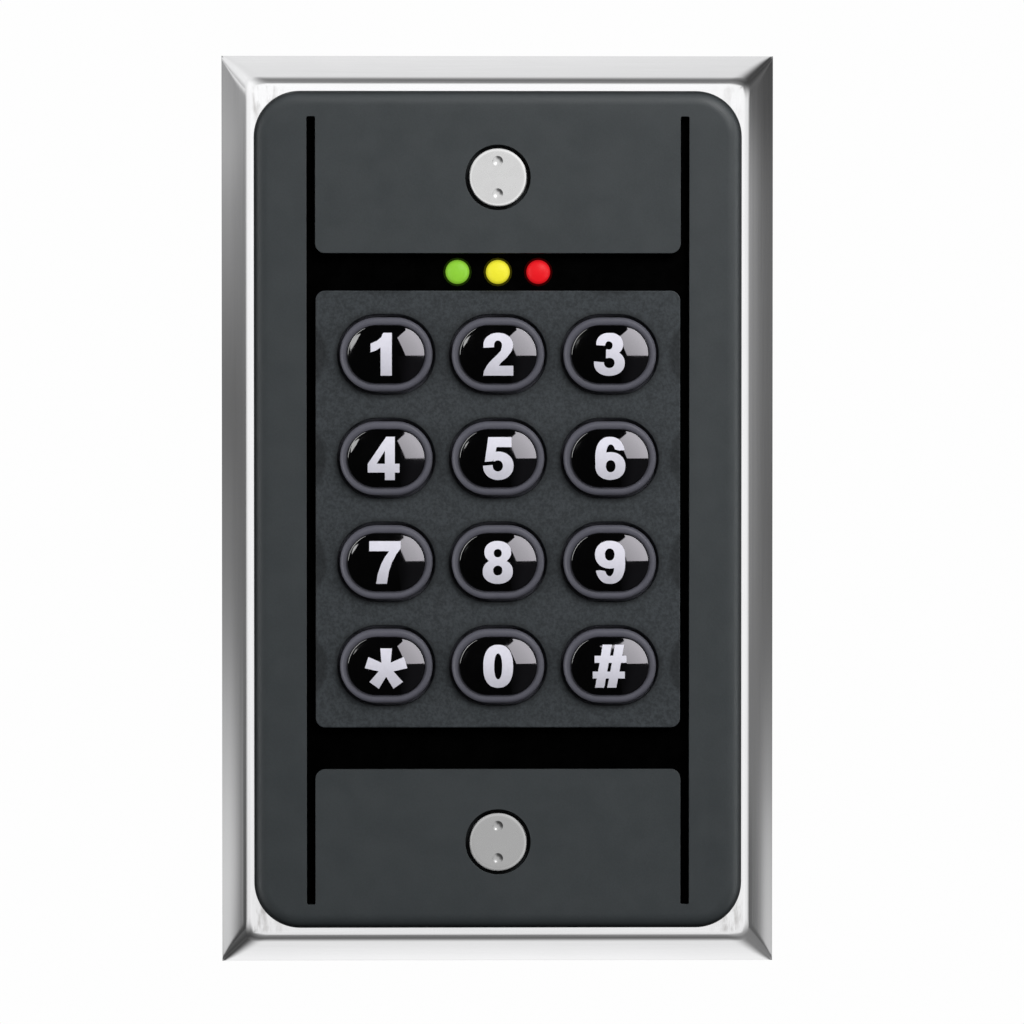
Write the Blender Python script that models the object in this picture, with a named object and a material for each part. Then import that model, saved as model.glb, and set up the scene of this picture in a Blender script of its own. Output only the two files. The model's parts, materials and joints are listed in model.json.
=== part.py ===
"""Flush-mount keypad access reader for a single-gang wall box.

A bevelled stainless trim plate stands on the wall. A charcoal cover with a
ladder-shaped opening sits on the plate, and a separate keypad panel with
twelve keys sits in that opening over a black inner frame that carries three
indicator LEDs. Two spanner-head screws hold the unit to the wall box. Behind
the plate a deep rear housing holds two circuit boards, the reader's antenna
coil, a buzzer, the lock relay, the tamper switch and the harness sockets.

Units in the constants are millimetres. +Z is up, +X is to the viewer's right,
the keys face -Y, and y = 0 is the wall's surface.
"""

from math import cos, pi, radians, sin

import bmesh
import bpy

MM = 0.001
GAP = 0.3                      # clearance between pieces that touch

# trim plate (pressed stainless sheet)
PLATE_HX, PLATE_HZ = 35.0, 57.5
PLATE_TOP_HX, PLATE_TOP_HZ = 31.7, 54.1
PLATE_DEPTH = 5.6
PLATE_LAND = 0.5
SHEET = 1.2
WINDOW_HX, WINDOW_HZ = 23.6, 35.8

# front cover
COVER_HX, COVER_HZ, COVER_R = 30.65, 52.6, 5.8
COVER_EDGE = 1.5
Y_FACE = -8.4
Y_COVER_BACK = -PLATE_DEPTH - GAP
COVER_WALL = 1.2
SKIRT = 1.6

# ladder-shaped opening: two upright grooves joined by two bands
GROOVE_IN, GROOVE_OUT = 22.9, 24.0
GROOVE_TOP, GROOVE_LOW = 49.3, -49.55
BAND_TOP_HI, BAND_TOP_LO = 32.2, 27.5
BAND_LOW_HI, BAND_LOW_LO = -27.3, -32.55
PANEL_R = 1.2

# keys
KEY_X = (-14.0, 0.0, 14.0)
KEY_Z = (19.5, 6.5, -6.5, -19.5)
KEY_NAMES = (("1", "2", "3"), ("4", "5", "6"), ("7", "8", "9"), ("star", "0", "hash"))
KEY_HOLE = (12.2, 10.0)
KEY_BODY = (11.6, 9.26)
KEY_CAP = (9.8, 7.35)
KEY_FLANGE = (13.2, 10.9)
KEY_FOOT = (8.6, 6.4)
KEY_TRAVEL = 1.2

# indicators
LED_X = {"led_green": -5.08, "led_yellow": 0.0, "led_red": 5.08}
LED_Z, LED_R = 29.9, 1.5

# fasteners
BOX_SCREW_Z = 41.67            # half of the 83.34 mm single-gang spacing
BOX_HEAD_R, BOX_SHANK_R, BOX_SHANK_END = 3.65, 1.75, 18.1
SPANNER_R, SPANNER_Z = 0.7, 2.05
CASE_SCREW_X, CASE_SCREW_Z = 26.4, 33.0
BOARD_SCREW_X, BOARD_SCREW_Z = 18.6, 30.6

# inner frame
FRAME_HX, FRAME_HZ = 24.35, 50.0
Y_FRAME_FRONT, Y_FRAME_BACK = -6.9, -6.0

# rear housing
TUB_HX, TUB_HZ, TUB_R = 23.1, 35.2, 3.0
TUB_WALL = 1.6
TUB_FLANGE_HX, TUB_FLANGE_HZ = 28.6, 38.0
Y_TUB_FRONT, Y_TUB_FLANGE, Y_TUB_BACK = -4.1, -2.1, 34.6

# boards
BOARD_HX, BOARD_HZ = 21.2, 33.3
Y_MAIN = (-1.6, 0.0)
Y_REAR = (18.0, 19.6)

# harness sockets on the rear board: centre z, half width, pin count
SOCKETS = {"harness_socket": (-14.0, 13.5, 9), "relay_socket": (12.0, 8.5, 5)}
SOCKET_HZ, SOCKET_WALL, Y_SOCKET_END, Y_SOCKET_FLOOR, Y_PIN_END = 3.9, 1.2, 34.0, 24.8, 29.4

# tamper switch
TAMPER_X, TAMPER_Z = 10.0, -30.3

for old in list(bpy.data.objects):
    bpy.data.objects.remove(old, do_unlink=True)


# ---------------------------------------------------------------- helpers

def material(name, colour, rough, metal=0.0, emit=None):
    mat = bpy.data.materials.new(name)
    mat.use_nodes = True
    shader = mat.node_tree.nodes["Principled BSDF"]
    shader.inputs["Base Color"].default_value = (*colour, 1.0)
    shader.inputs["Roughness"].default_value = rough
    shader.inputs["Metallic"].default_value = metal
    if emit:
        shader.inputs["Emission Color"].default_value = (*emit, 1.0)
        shader.inputs["Emission Strength"].default_value = 1.0
    mat.diffuse_color = (*colour, 1.0)
    return mat


def rect(hx, hz, r=0.0, n=4, cx=0.0, cz=0.0):
    """Outline of a rectangle, with rounded corners where r is given."""
    if r <= 0:
        return [(cx - hx, cz - hz), (cx + hx, cz - hz), (cx + hx, cz + hz), (cx - hx, cz + hz)]
    points = []
    for sx, sz, start in ((1, -1, -90), (1, 1, 0), (-1, 1, 90), (-1, -1, 180)):
        for i in range(n + 1):
            a = radians(start + 90 * i / n)
            points.append((cx + sx * (hx - r) + r * cos(a), cz + sz * (hz - r) + r * sin(a)))
    return points


def stadium(w, h, n=8, cx=0.0, cz=0.0):
    """Outline of an oblong with half-round ends."""
    r, straight, points = h / 2, (w - h) / 2, []
    for side, start in ((1, -90), (-1, 90)):
        for i in range(n + 1):
            a = radians(start + 180 * i / n)
            points.append((cx + side * straight + r * cos(a), cz + r * sin(a)))
    return points


def circle(r, n=16, cx=0.0, cz=0.0):
    return [(cx + r * cos(2 * pi * i / n), cz + r * sin(2 * pi * i / n)) for i in range(n)]


def add_loft(bm, levels, closed=False):
    """Outlines of one point count joined in order; capped, or joined end to start."""
    rings = [[bm.verts.new((x * MM, y * MM, z * MM)) for x, z in points] for points, y in levels]
    pairs = list(zip(rings, rings[1:]))
    if closed:
        pairs.append((rings[-1], rings[0]))
    for a, b in pairs:
        count = len(a)
        for i in range(count):
            j = (i + 1) % count
            bm.faces.new((a[i], a[j], b[j], b[i]))
    if not closed:
        bm.faces.new(rings[0])
        bm.faces.new(list(reversed(rings[-1])))


def add_lathe(bm, profile, segments, cx=0.0, cz=0.0):
    """Profile of (radius, y) turned about the Y axis through (cx, cz)."""
    rings = []
    for r, y in profile:
        if r == 0:
            rings.append([bm.verts.new((cx * MM, y * MM, cz * MM))])
        else:
            rings.append([bm.verts.new((x * MM, y * MM, z * MM))
                          for x, z in circle(r, segments, cx, cz)])
    for a, b in zip(rings, rings[1:]):
        for i in range(segments):
            j = (i + 1) % segments
            if len(a) == 1:
                bm.faces.new((a[0], b[j], b[i]))
            elif len(b) == 1:
                bm.faces.new((a[i], a[j], b[0]))
            else:
                bm.faces.new((a[i], a[j], b[j], b[i]))


def mesh_of(name, build, smooth=None):
    bm = bmesh.new()
    build(bm)
    bmesh.ops.recalc_face_normals(bm, faces=bm.faces[:])
    mesh = bpy.data.meshes.new(name)
    bm.to_mesh(mesh)
    bm.free()
    if smooth:
        mesh.shade_smooth()
        mesh.set_sharp_from_angle(angle=radians(smooth))
    return mesh


def place(name, mesh, mat=None, at=(0.0, 0.0, 0.0)):
    obj = bpy.data.objects.new(name, mesh)
    obj.location = [c * MM for c in at]
    if mat and not mesh.materials:
        mesh.materials.append(mat)
    bpy.context.scene.collection.objects.link(obj)
    return obj


def piece(name, build, mat, smooth=None, at=(0.0, 0.0, 0.0)):
    return place(name, mesh_of(name, build, smooth), mat, at)


def change(obj, what, build):
    """Cut a shape out of obj, or join one to it."""
    tool = place(f"tool_{obj.name}_{len(obj.modifiers)}", mesh_of("tool", build))
    tool.hide_render = True
    tool.display_type = "WIRE"
    mod = obj.modifiers.new(what.title(), "BOOLEAN")
    mod.operation = what
    mod.solver = "EXACT"
    mod.object = tool
    return obj


def prisms(outlines, y0, y1):
    def build(bm):
        for points in outlines:
            add_loft(bm, [(points, y0), (points, y1)])
    return build


def box(hx, hz, y0, y1, cx=0.0, cz=0.0):
    return prisms([rect(hx, hz, 0, 4, cx, cz)], y0, y1)


# -------------------------------------------------------------- materials

steel = material("stainless_steel", (0.62, 0.62, 0.63), 0.25, 1.0)
charcoal = material("charcoal_abs", (0.055, 0.064, 0.067), 0.45)
panel_grey = material("panel_abs", (0.052, 0.060, 0.062), 0.55)
black = material("gloss_black_abs", (0.004, 0.004, 0.004), 0.2)
silicone = material("violet_grey_silicone", (0.115, 0.110, 0.140), 0.5)
cap_black = material("gloss_black_cap", (0.006, 0.006, 0.007), 0.06)
zinc = material("plated_steel", (0.60, 0.60, 0.60), 0.3, 1.0)
foam = material("foam_rubber", (0.02, 0.02, 0.02), 0.9)
housing_black = material("black_housing_abs", (0.015, 0.015, 0.016), 0.55)
mat_rubber = material("mat_silicone", (0.35, 0.35, 0.36), 0.6)
board_green = material("circuit_board", (0.015, 0.12, 0.05), 0.4)
copper = material("enamelled_copper", (0.55, 0.20, 0.08), 0.3, 1.0)
chip_black = material("chip_epoxy", (0.012, 0.012, 0.012), 0.5)
relay_blue = material("relay_case", (0.02, 0.08, 0.30), 0.35)
nylon = material("socket_nylon", (0.75, 0.73, 0.66), 0.45)
brass = material("nickel_brass", (0.70, 0.62, 0.45), 0.3, 1.0)
switch_grey = material("switch_body", (0.05, 0.05, 0.05), 0.5)
plunger_red = material("plunger_nylon", (0.45, 0.06, 0.04), 0.45)
led_colours = {
    "led_green": material("led_green_epoxy", (0.28, 0.64, 0.045), 0.3, 0.0, (0.28, 0.64, 0.045)),
    "led_yellow": material("led_yellow_epoxy", (0.91, 0.87, 0.045), 0.3, 0.0, (0.91, 0.87, 0.045)),
    "led_red": material("led_red_epoxy", (0.85, 0.012, 0.018), 0.3, 0.0, (0.85, 0.012, 0.018)),
}

# ------------------------------------------------------------- trim plate

plate_levels = [
    (rect(PLATE_HX, PLATE_HZ), 0.0),
    (rect(PLATE_HX, PLATE_HZ), -PLATE_LAND),
    (rect(PLATE_TOP_HX, PLATE_TOP_HZ), -PLATE_DEPTH),
    (rect(WINDOW_HX, WINDOW_HZ), -PLATE_DEPTH),
    (rect(WINDOW_HX, WINDOW_HZ), -PLATE_DEPTH + SHEET),
    (rect(PLATE_TOP_HX - 0.6, PLATE_TOP_HZ - 0.6), -PLATE_DEPTH + SHEET),
    (rect(PLATE_HX - SHEET, PLATE_HZ - SHEET), 0.0),
]
trim_plate = piece("trim_plate", lambda bm: add_loft(bm, plate_levels, closed=True), steel)
change(trim_plate, "DIFFERENCE", prisms(
    [circle(2.1, 20, 0, s * BOX_SCREW_Z) for s in (1, -1)]
    + [circle(1.3, 12, sx * CASE_SCREW_X, sz * CASE_SCREW_Z) for sx in (1, -1) for sz in (1, -1)],
    -PLATE_DEPTH - 1, -PLATE_DEPTH + SHEET + 1))

# ------------------------------------------------------------ front cover

cover_levels = [
    (rect(COVER_HX - SKIRT, COVER_HZ - SKIRT, COVER_R - SKIRT, 6), Y_FACE + COVER_WALL),
    (rect(COVER_HX - SKIRT, COVER_HZ - SKIRT, COVER_R - SKIRT, 6), Y_COVER_BACK),
    (rect(COVER_HX, COVER_HZ, COVER_R, 6), Y_COVER_BACK),
]
for step in range(4):
    a = radians(90 * step / 3)
    inset = COVER_EDGE * (1 - cos(a))
    cover_levels.append((rect(COVER_HX - inset, COVER_HZ - inset, COVER_R - inset, 6),
                         Y_FACE + COVER_EDGE * (1 - sin(a))))
front_cover = piece("front_cover", lambda bm: add_loft(bm, cover_levels), charcoal, 40)


def ladder_outline():
    """The grooves and the band-to-band space as one outline, with the two
    screw tongues' corners rounded."""
    points = []

    def tongue_corner(sx, edge, away, first):
        cx, cz = sx * (GROOVE_IN - PANEL_R), edge + away * PANEL_R
        ends = [(0 if sx > 0 else 180), (90 if away < 0 else -90)]
        if ends == [180, -90]:
            ends = [180, 270]
        if first:
            ends.reverse()
        for i in range(5):
            a = radians(ends[0] + (ends[1] - ends[0]) * i / 4)
            points.append((cx + PANEL_R * cos(a), cz + PANEL_R * sin(a)))

    points += [(GROOVE_OUT, GROOVE_LOW), (GROOVE_OUT, GROOVE_TOP), (GROOVE_IN, GROOVE_TOP)]
    tongue_corner(1, BAND_TOP_HI, 1, False)
    tongue_corner(-1, BAND_TOP_HI, 1, True)
    points += [(-GROOVE_IN, GROOVE_TOP), (-GROOVE_OUT, GROOVE_TOP),
               (-GROOVE_OUT, GROOVE_LOW), (-GROOVE_IN, GROOVE_LOW)]
    tongue_corner(-1, BAND_LOW_LO, -1, False)
    tongue_corner(1, BAND_LOW_LO, -1, True)
    points.append((GROOVE_IN, GROOVE_LOW))
    return points


change(front_cover, "DIFFERENCE", prisms([ladder_outline()], Y_FACE - 1, Y_FACE + COVER_WALL + 0.4))
change(front_cover, "UNION", prisms(
    [circle(5.5, 24, 0, s * BOX_SCREW_Z) for s in (1, -1)]
    + [circle(1.6, 12, sx * CASE_SCREW_X, sz * CASE_SCREW_Z) for sx in (1, -1) for sz in (1, -1)],
    Y_FACE + 0.6, Y_COVER_BACK))
change(front_cover, "DIFFERENCE", prisms(
    [circle(BOX_HEAD_R + 0.45, 32, 0, s * BOX_SCREW_Z) for s in (1, -1)], Y_FACE - 1, -7.0))
change(front_cover, "DIFFERENCE", prisms(
    [circle(2.1, 20, 0, s * BOX_SCREW_Z) for s in (1, -1)], Y_FACE - 1, Y_COVER_BACK + 1))
change(front_cover, "DIFFERENCE", prisms(
    [circle(1.1, 12, sx * CASE_SCREW_X, sz * CASE_SCREW_Z) for sx in (1, -1) for sz in (1, -1)],
    -7.5, Y_COVER_BACK + 1))

# ----------------------------------------------------------- keypad panel

panel_hz = (BAND_TOP_LO - BAND_LOW_HI) / 2
panel_cz = (BAND_TOP_LO + BAND_LOW_HI) / 2
keypad_panel = piece("keypad_panel", prisms(
    [rect(GROOVE_IN - 0.05, panel_hz, PANEL_R, 4, 0, panel_cz)], Y_FACE, Y_FACE + COVER_WALL), panel_grey)
change(keypad_panel, "DIFFERENCE", prisms(
    [stadium(*KEY_HOLE, 8, x, z) for x in KEY_X for z in KEY_Z], Y_FACE - 1, Y_FACE + COVER_WALL + 1))

# ------------------------------------------------------------ inner frame

inner_frame = piece("inner_frame", box(FRAME_HX, FRAME_HZ, Y_FRAME_FRONT, Y_FRAME_BACK), black)
change(inner_frame, "DIFFERENCE", prisms(
    [rect(21.2, panel_hz - 1.7, 0, 4, 0, panel_cz)]
    + [circle(5.9, 24, 0, s * BOX_SCREW_Z) for s in (1, -1)]
    + [circle(LED_R + 0.3, 16, x, LED_Z) for x in LED_X.values()],
    Y_FRAME_FRONT - 1, Y_FRAME_BACK + 1))

# ------------------------------------------------------------------- keys

# Heights are measured from the cover's face, at each key's own origin.
key_body_levels = [
    (stadium(*KEY_FOOT, 6), 5.2),
    (stadium(*KEY_FOOT, 6), 2.3),
    (stadium(*KEY_FLANGE, 6), 2.3),
    (stadium(*KEY_FLANGE, 6), 1.5),
    (stadium(*KEY_BODY, 6), 1.5),
    (stadium(*KEY_BODY, 6), -0.6),
    (stadium(KEY_BODY[0] - 0.5, KEY_BODY[1] - 0.5, 6), -1.05),
    (stadium(KEY_BODY[0] - 1.5, KEY_BODY[1] - 1.5, 6), -1.2),
]
key_cap_levels = [
    (stadium(*KEY_CAP), -1.5),
    (stadium(*KEY_CAP), -1.72),
    (stadium(KEY_CAP[0] - 0.8, KEY_CAP[1] - 0.8), -2.02),
    (stadium(KEY_CAP[0] - 2.6, KEY_CAP[1] - 2.6), -2.25),
    (stadium(KEY_CAP[0] - 5.0, KEY_CAP[1] - 5.0), -2.35),
]
key_body_mesh = mesh_of("key_button", lambda bm: add_loft(bm, key_body_levels), 40)
key_cap_mesh = mesh_of("key_cap", lambda bm: add_loft(bm, key_cap_levels), 40)
for row, z in enumerate(KEY_Z):
    for column, x in enumerate(KEY_X):
        label = KEY_NAMES[row][column]
        place(f"key_{label}_button", key_body_mesh, silicone, (x, Y_FACE, z))
        place(f"key_{label}_cap", key_cap_mesh, cap_black, (x, Y_FACE, z))

# ------------------------------------------------------------- indicators

led_profile = [(0, -1.9), (1.9, -1.9), (1.9, -2.9), (LED_R, -2.9), (LED_R, -6.4)]
led_profile += [(LED_R * cos(radians(a)), -6.4 - 1.3 * sin(radians(a))) for a in (30, 60)]
led_profile.append((0, -7.7))
for name, x in LED_X.items():
    piece(name, lambda bm: add_lathe(bm, led_profile, 14), led_colours[name], 40, (x, 0, LED_Z))

# ------------------------------------------------------------ box screws

head_profile = [(0, -8.55), (BOX_HEAD_R - 0.2, -8.55), (BOX_HEAD_R, -8.4), (BOX_HEAD_R, -7.3),
                (BOX_SHANK_R, -7.3), (BOX_SHANK_R, BOX_SHANK_END - 0.6),
                (BOX_SHANK_R - 0.5, BOX_SHANK_END), (0, BOX_SHANK_END)]
for name, side in (("security_screw_top", 1), ("security_screw_bottom", -1)):
    screw = piece(name, lambda bm: add_lathe(bm, head_profile, 28, 0, side * BOX_SCREW_Z), zinc, 40)
    change(screw, "DIFFERENCE", prisms(
        [circle(SPANNER_R, 12, 0, side * BOX_SCREW_Z + s * SPANNER_Z) for s in (1, -1)], -9.5, -7.75))

# ----------------------------------------------------------- wall gasket

gasket_levels = [(rect(30.6, 53.0), -4.1), (rect(30.6, 53.0), 0.0),
                 (rect(28.9, 50.3), 0.0), (rect(28.9, 50.3), -4.1)]
piece("wall_gasket", lambda bm: add_loft(bm, gasket_levels, closed=True), foam)

# ----------------------------------------------------------- rear housing

tub_in = rect(TUB_HX - TUB_WALL, TUB_HZ - TUB_WALL, TUB_R - TUB_WALL, 4)
tub_out = rect(TUB_HX, TUB_HZ, TUB_R, 4)
tub_levels = [
    (tub_in, Y_TUB_BACK - 1.8),
    (tub_in, Y_TUB_FRONT),
    (rect(TUB_FLANGE_HX, TUB_FLANGE_HZ, 2.0, 4), Y_TUB_FRONT),
    (rect(TUB_FLANGE_HX, TUB_FLANGE_HZ, 2.0, 4), Y_TUB_FLANGE),
    (tub_out, Y_TUB_FLANGE),
    (tub_out, Y_TUB_BACK - 1.0),
    (rect(TUB_HX - 0.3, TUB_HZ - 0.3, TUB_R - 0.3, 4), Y_TUB_BACK - 0.3),
    (rect(TUB_HX - 1.0, TUB_HZ - 1.0, TUB_R - 1.0, 4), Y_TUB_BACK),
]
rear_housing = piece("rear_housing", lambda bm: add_loft(bm, tub_levels), housing_black, 35)
corners = [(sx * BOARD_SCREW_X, sz * BOARD_SCREW_Z) for sx in (1, -1) for sz in (1, -1)]
change(rear_housing, "UNION", prisms([circle(3.2, 16, x, z) for x, z in corners], 19.9, 33.4))
change(rear_housing, "DIFFERENCE", prisms([circle(1.3, 12, x, z) for x, z in corners], 19.0, 26.0))
change(rear_housing, "DIFFERENCE", prisms(
    [rect(hx + 0.5, SOCKET_HZ + 0.5, 0, 4, 0, cz) for cz, hx, _ in SOCKETS.values()], 30.0, 36.0))
change(rear_housing, "DIFFERENCE", prisms(
    [circle(1.3, 12, sx * CASE_SCREW_X, sz * CASE_SCREW_Z) for sx in (1, -1) for sz in (1, -1)], -6.0, -1.0))

# --------------------------------------------------- keypad mat and boards

mat = piece("keypad_mat", box(BOARD_HX, 27.0, -3.4, -1.9), mat_rubber)
change(mat, "DIFFERENCE", prisms([stadium(9.4, 7.2, 4, x, z) for x in KEY_X for z in KEY_Z], -5.0, -1.0))

for name, (y0, y1), green in (("main_board", Y_MAIN, board_green), ("rear_board", Y_REAR, board_green)):
    board = piece(name, prisms([rect(BOARD_HX, BOARD_HZ, 1.6, 3)], y0, y1), green)
    change(board, "DIFFERENCE", prisms([circle(1.25, 12, x, z) for x, z in corners], y0 - 1, y1 + 1))

coil_levels = [(rect(20.0, 27.5, 6.0, 5), 0.3), (rect(20.0, 27.5, 6.0, 5), 2.3),
               (rect(17.6, 25.1, 3.6, 5), 2.3), (rect(17.6, 25.1, 3.6, 5), 0.3)]
piece("antenna_coil", lambda bm: add_loft(bm, coil_levels, closed=True), copper, 40)
piece("controller_chip", lambda bm: add_loft(bm, [
    (rect(6, 6, 0, 4, 7, -8), 0.3), (rect(6, 6, 0, 4, 7, -8), 1.2), (rect(5.7, 5.7, 0, 4, 7, -8), 1.6)]), chip_black)
piece("buzzer", lambda bm: add_lathe(bm, [
    (0, 0.3), (6, 0.3), (6, 9.3), (5.5, 9.8), (1.2, 9.8), (1.2, 8.0), (0, 8.0)], 20, -8.5, -11.8), chip_black, 40)
piece("lock_relay", lambda bm: add_loft(bm, [
    (rect(9.2, 7.4, 0, 4, 5, 12), 2.6), (rect(9.5, 7.75, 0, 4, 5, 12), 3.0),
    (rect(9.5, 7.75, 0, 4, 5, 12), 17.7)]), relay_blue)
piece("board_header", box(10.2, 2.5, 0.3, 17.7, 0, -21.4), chip_black)

# -------------------------------------------------------- harness sockets

for name, (cz, hx, pins) in SOCKETS.items():
    socket = piece(name, box(hx, SOCKET_HZ, Y_REAR[1] + GAP, Y_SOCKET_END, 0, cz), nylon)
    change(socket, "DIFFERENCE", box(hx - SOCKET_WALL, SOCKET_HZ - SOCKET_WALL, Y_SOCKET_FLOOR, 36.0, 0, cz))
    change(socket, "UNION", prisms(
        [rect(0.32, 0.32, 0, 4, (i - (pins - 1) / 2) * 2.54, cz) for i in range(pins)],
        Y_SOCKET_FLOOR - 1, Y_PIN_END))
    change(socket, "DIFFERENCE", box(2.0, 1.0, Y_SOCKET_FLOOR + 2, 36.0, 0, cz + SOCKET_HZ - 0.4))

# ---------------------------------------------------------- tamper switch

switch = piece("tamper_switch", box(2.7, 2.7, -4.9, -1.9, TAMPER_X, TAMPER_Z), switch_grey)
change(switch, "DIFFERENCE", prisms([circle(1.5, 14, TAMPER_X, TAMPER_Z)], -6.0, -2.5))
piece("tamper_plunger", lambda bm: add_lathe(bm, [
    (0, -3.6), (1.2, -3.6), (1.2, -5.5), (1.0, -5.7), (0, -5.7)], 14), plunger_red, 40,
    (TAMPER_X, 0, TAMPER_Z))

# -------------------------------------------------- small screws, standoffs

case_profile = [(0, -0.5), (1.2, -0.5), (1.7, -0.9), (1.7, -1.8), (0.8, -1.8), (0.8, -7.2), (0, -7.2)]
board_profile = [(0, -3.1), (1.5, -3.1), (1.9, -2.8), (1.9, -1.9), (0.8, -1.9), (0.8, 5.8), (0, 5.8)]
standoff_profile = [(0, 6.3), (1.25, 6.3), (1.25, 0.3), (2.5, 0.3), (2.5, 17.7), (0.95, 17.7), (0.95, 24.0), (0, 24.0)]
places = {"top_right": (1, 1), "top_left": (-1, 1), "bottom_right": (1, -1), "bottom_left": (-1, -1)}
for spot, (sx, sz) in places.items():
    case_at = (sx * CASE_SCREW_X, 0, sz * CASE_SCREW_Z)
    board_at = (sx * BOARD_SCREW_X, 0, sz * BOARD_SCREW_Z)
    screw = piece(f"case_screw_{spot}", lambda bm: add_lathe(bm, case_profile, 12), zinc, 40, case_at)
    change(screw, "DIFFERENCE", box(1.3, 0.22, -1.1, 0.5, case_at[0], case_at[2]))
    piece(f"board_screw_{spot}", lambda bm: add_lathe(bm, board_profile, 10), zinc, 40, board_at)
    piece(f"standoff_{spot}", lambda bm: add_lathe(bm, standoff_profile, 6), brass, 20, board_at)
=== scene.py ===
import json
from math import asin, atan2, cos, pi, radians, sin, sqrt

import bmesh
import bpy
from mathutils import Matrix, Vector

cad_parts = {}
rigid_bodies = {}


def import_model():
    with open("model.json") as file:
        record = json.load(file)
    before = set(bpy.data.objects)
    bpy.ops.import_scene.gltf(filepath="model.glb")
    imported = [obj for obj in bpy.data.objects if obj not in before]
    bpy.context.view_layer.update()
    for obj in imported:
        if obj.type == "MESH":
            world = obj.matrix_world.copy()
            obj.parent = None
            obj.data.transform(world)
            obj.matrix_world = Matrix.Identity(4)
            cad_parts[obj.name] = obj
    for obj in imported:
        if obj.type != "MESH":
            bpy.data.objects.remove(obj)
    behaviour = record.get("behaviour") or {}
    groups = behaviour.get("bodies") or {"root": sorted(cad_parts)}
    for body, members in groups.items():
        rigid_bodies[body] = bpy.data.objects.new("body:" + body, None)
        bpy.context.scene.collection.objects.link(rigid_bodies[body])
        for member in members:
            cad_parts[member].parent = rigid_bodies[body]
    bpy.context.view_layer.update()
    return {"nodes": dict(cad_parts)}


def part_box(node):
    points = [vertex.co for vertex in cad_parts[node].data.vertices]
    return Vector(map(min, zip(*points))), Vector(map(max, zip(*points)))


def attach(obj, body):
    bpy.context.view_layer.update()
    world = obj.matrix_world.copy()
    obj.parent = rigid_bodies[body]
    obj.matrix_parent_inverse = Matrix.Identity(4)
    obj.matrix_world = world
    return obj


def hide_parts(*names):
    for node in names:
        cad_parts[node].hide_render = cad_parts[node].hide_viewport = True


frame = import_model()
MM = 0.001
nodes = frame["nodes"]
scene = bpy.context.scene
scene.view_settings.view_transform = "Standard"

# ------------------------------------------------------------------ camera
cam_data = bpy.data.cameras.new("camera")
cam = bpy.data.objects.new("camera", cam_data)
scene.collection.objects.link(cam)
cam.location = (-0.00523, -0.5811, 0.00971)
yaw, pitch = 0.0122, -0.01737
forward = Vector((cos(pitch) * sin(yaw), cos(pitch) * cos(yaw), sin(pitch)))
cam.rotation_euler = forward.to_track_quat("-Z", "Y").to_euler()
cam_data.sensor_width = 36.0
cam_data.lens = 4568.3 / 1024 * 36.0
cam_data.clip_start = 0.01
cam_data.clip_end = 20.0
scene.camera = cam

# ----------------------------------------------------------------- helpers


def rect(hx, hz, r=0.0, n=12, cx=0.0, cz=0.0):
    if r <= 0:
        return [(cx - hx, cz - hz), (cx + hx, cz - hz), (cx + hx, cz + hz), (cx - hx, cz + hz)]
    points = []
    for sx, sz, start in ((1, -1, -90), (1, 1, 0), (-1, 1, 90), (-1, -1, 180)):
        for i in range(n + 1):
            a = radians(start + 90 * i / n)
            points.append((cx + sx * (hx - r) + r * cos(a), cz + sz * (hz - r) + r * sin(a)))
    return points


def stadium(w, h, n=24, cx=0.0, cz=0.0, straight=3):
    """Half-round-ended oblong; the straight sides are divided so that every
    outline of one family has the same points."""
    r, half, points = h / 2, (w - h) / 2, []
    for side, start in ((1, -90), (-1, 90)):
        for i in range(n + 1):
            a = radians(start + 180 * i / n)
            points.append((cx + side * half + r * cos(a), cz + r * sin(a)))
        for i in range(1, straight):
            t = i / straight
            points.append((cx + side * half * (1 - 2 * t), cz + side * r))
    return points


def circle(r, n=48, cx=0.0, cz=0.0):
    return [(cx + r * cos(2 * pi * i / n), cz + r * sin(2 * pi * i / n)) for i in range(n)]


def add_loft(bm, levels, closed=False):
    rings = [[bm.verts.new((x * MM, y * MM, z * MM)) for x, z in points] for points, y in levels]
    pairs = list(zip(rings, rings[1:]))
    if closed:
        pairs.append((rings[-1], rings[0]))
    for a, b in pairs:
        count = len(a)
        for i in range(count):
            j = (i + 1) % count
            bm.faces.new((a[i], a[j], b[j], b[i]))
    if not closed:
        bm.faces.new(rings[0])
        bm.faces.new(list(reversed(rings[-1])))
    return rings


def add_lathe(bm, profile, segments=48, cx=0.0, cz=0.0):
    rings = []
    for r, y in profile:
        if r == 0:
            rings.append([bm.verts.new((cx * MM, y * MM, cz * MM))])
        else:
            rings.append([bm.verts.new((x * MM, y * MM, z * MM))
                          for x, z in circle(r, segments, cx, cz)])
    for a, b in zip(rings, rings[1:]):
        for i in range(segments):
            j = (i + 1) % segments
            if len(a) == 1:
                bm.faces.new((a[0], b[j], b[i]))
            elif len(b) == 1:
                bm.faces.new((a[i], a[j], b[0]))
            else:
                bm.faces.new((a[i], a[j], b[j], b[i]))


def make(name, build, smooth=35):
    bm = bmesh.new()
    build(bm)
    bmesh.ops.recalc_face_normals(bm, faces=bm.faces[:])
    mesh = bpy.data.meshes.new(name)
    bm.to_mesh(mesh)
    bm.free()
    if smooth:
        mesh.shade_smooth()
        mesh.set_sharp_from_angle(angle=radians(smooth))
    obj = bpy.data.objects.new(name, mesh)
    scene.collection.objects.link(obj)
    return obj


def prisms(outlines, y0, y1):
    def build(bm):
        for points in outlines:
            add_loft(bm, [(points, y0), (points, y1)])
    return build


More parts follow.
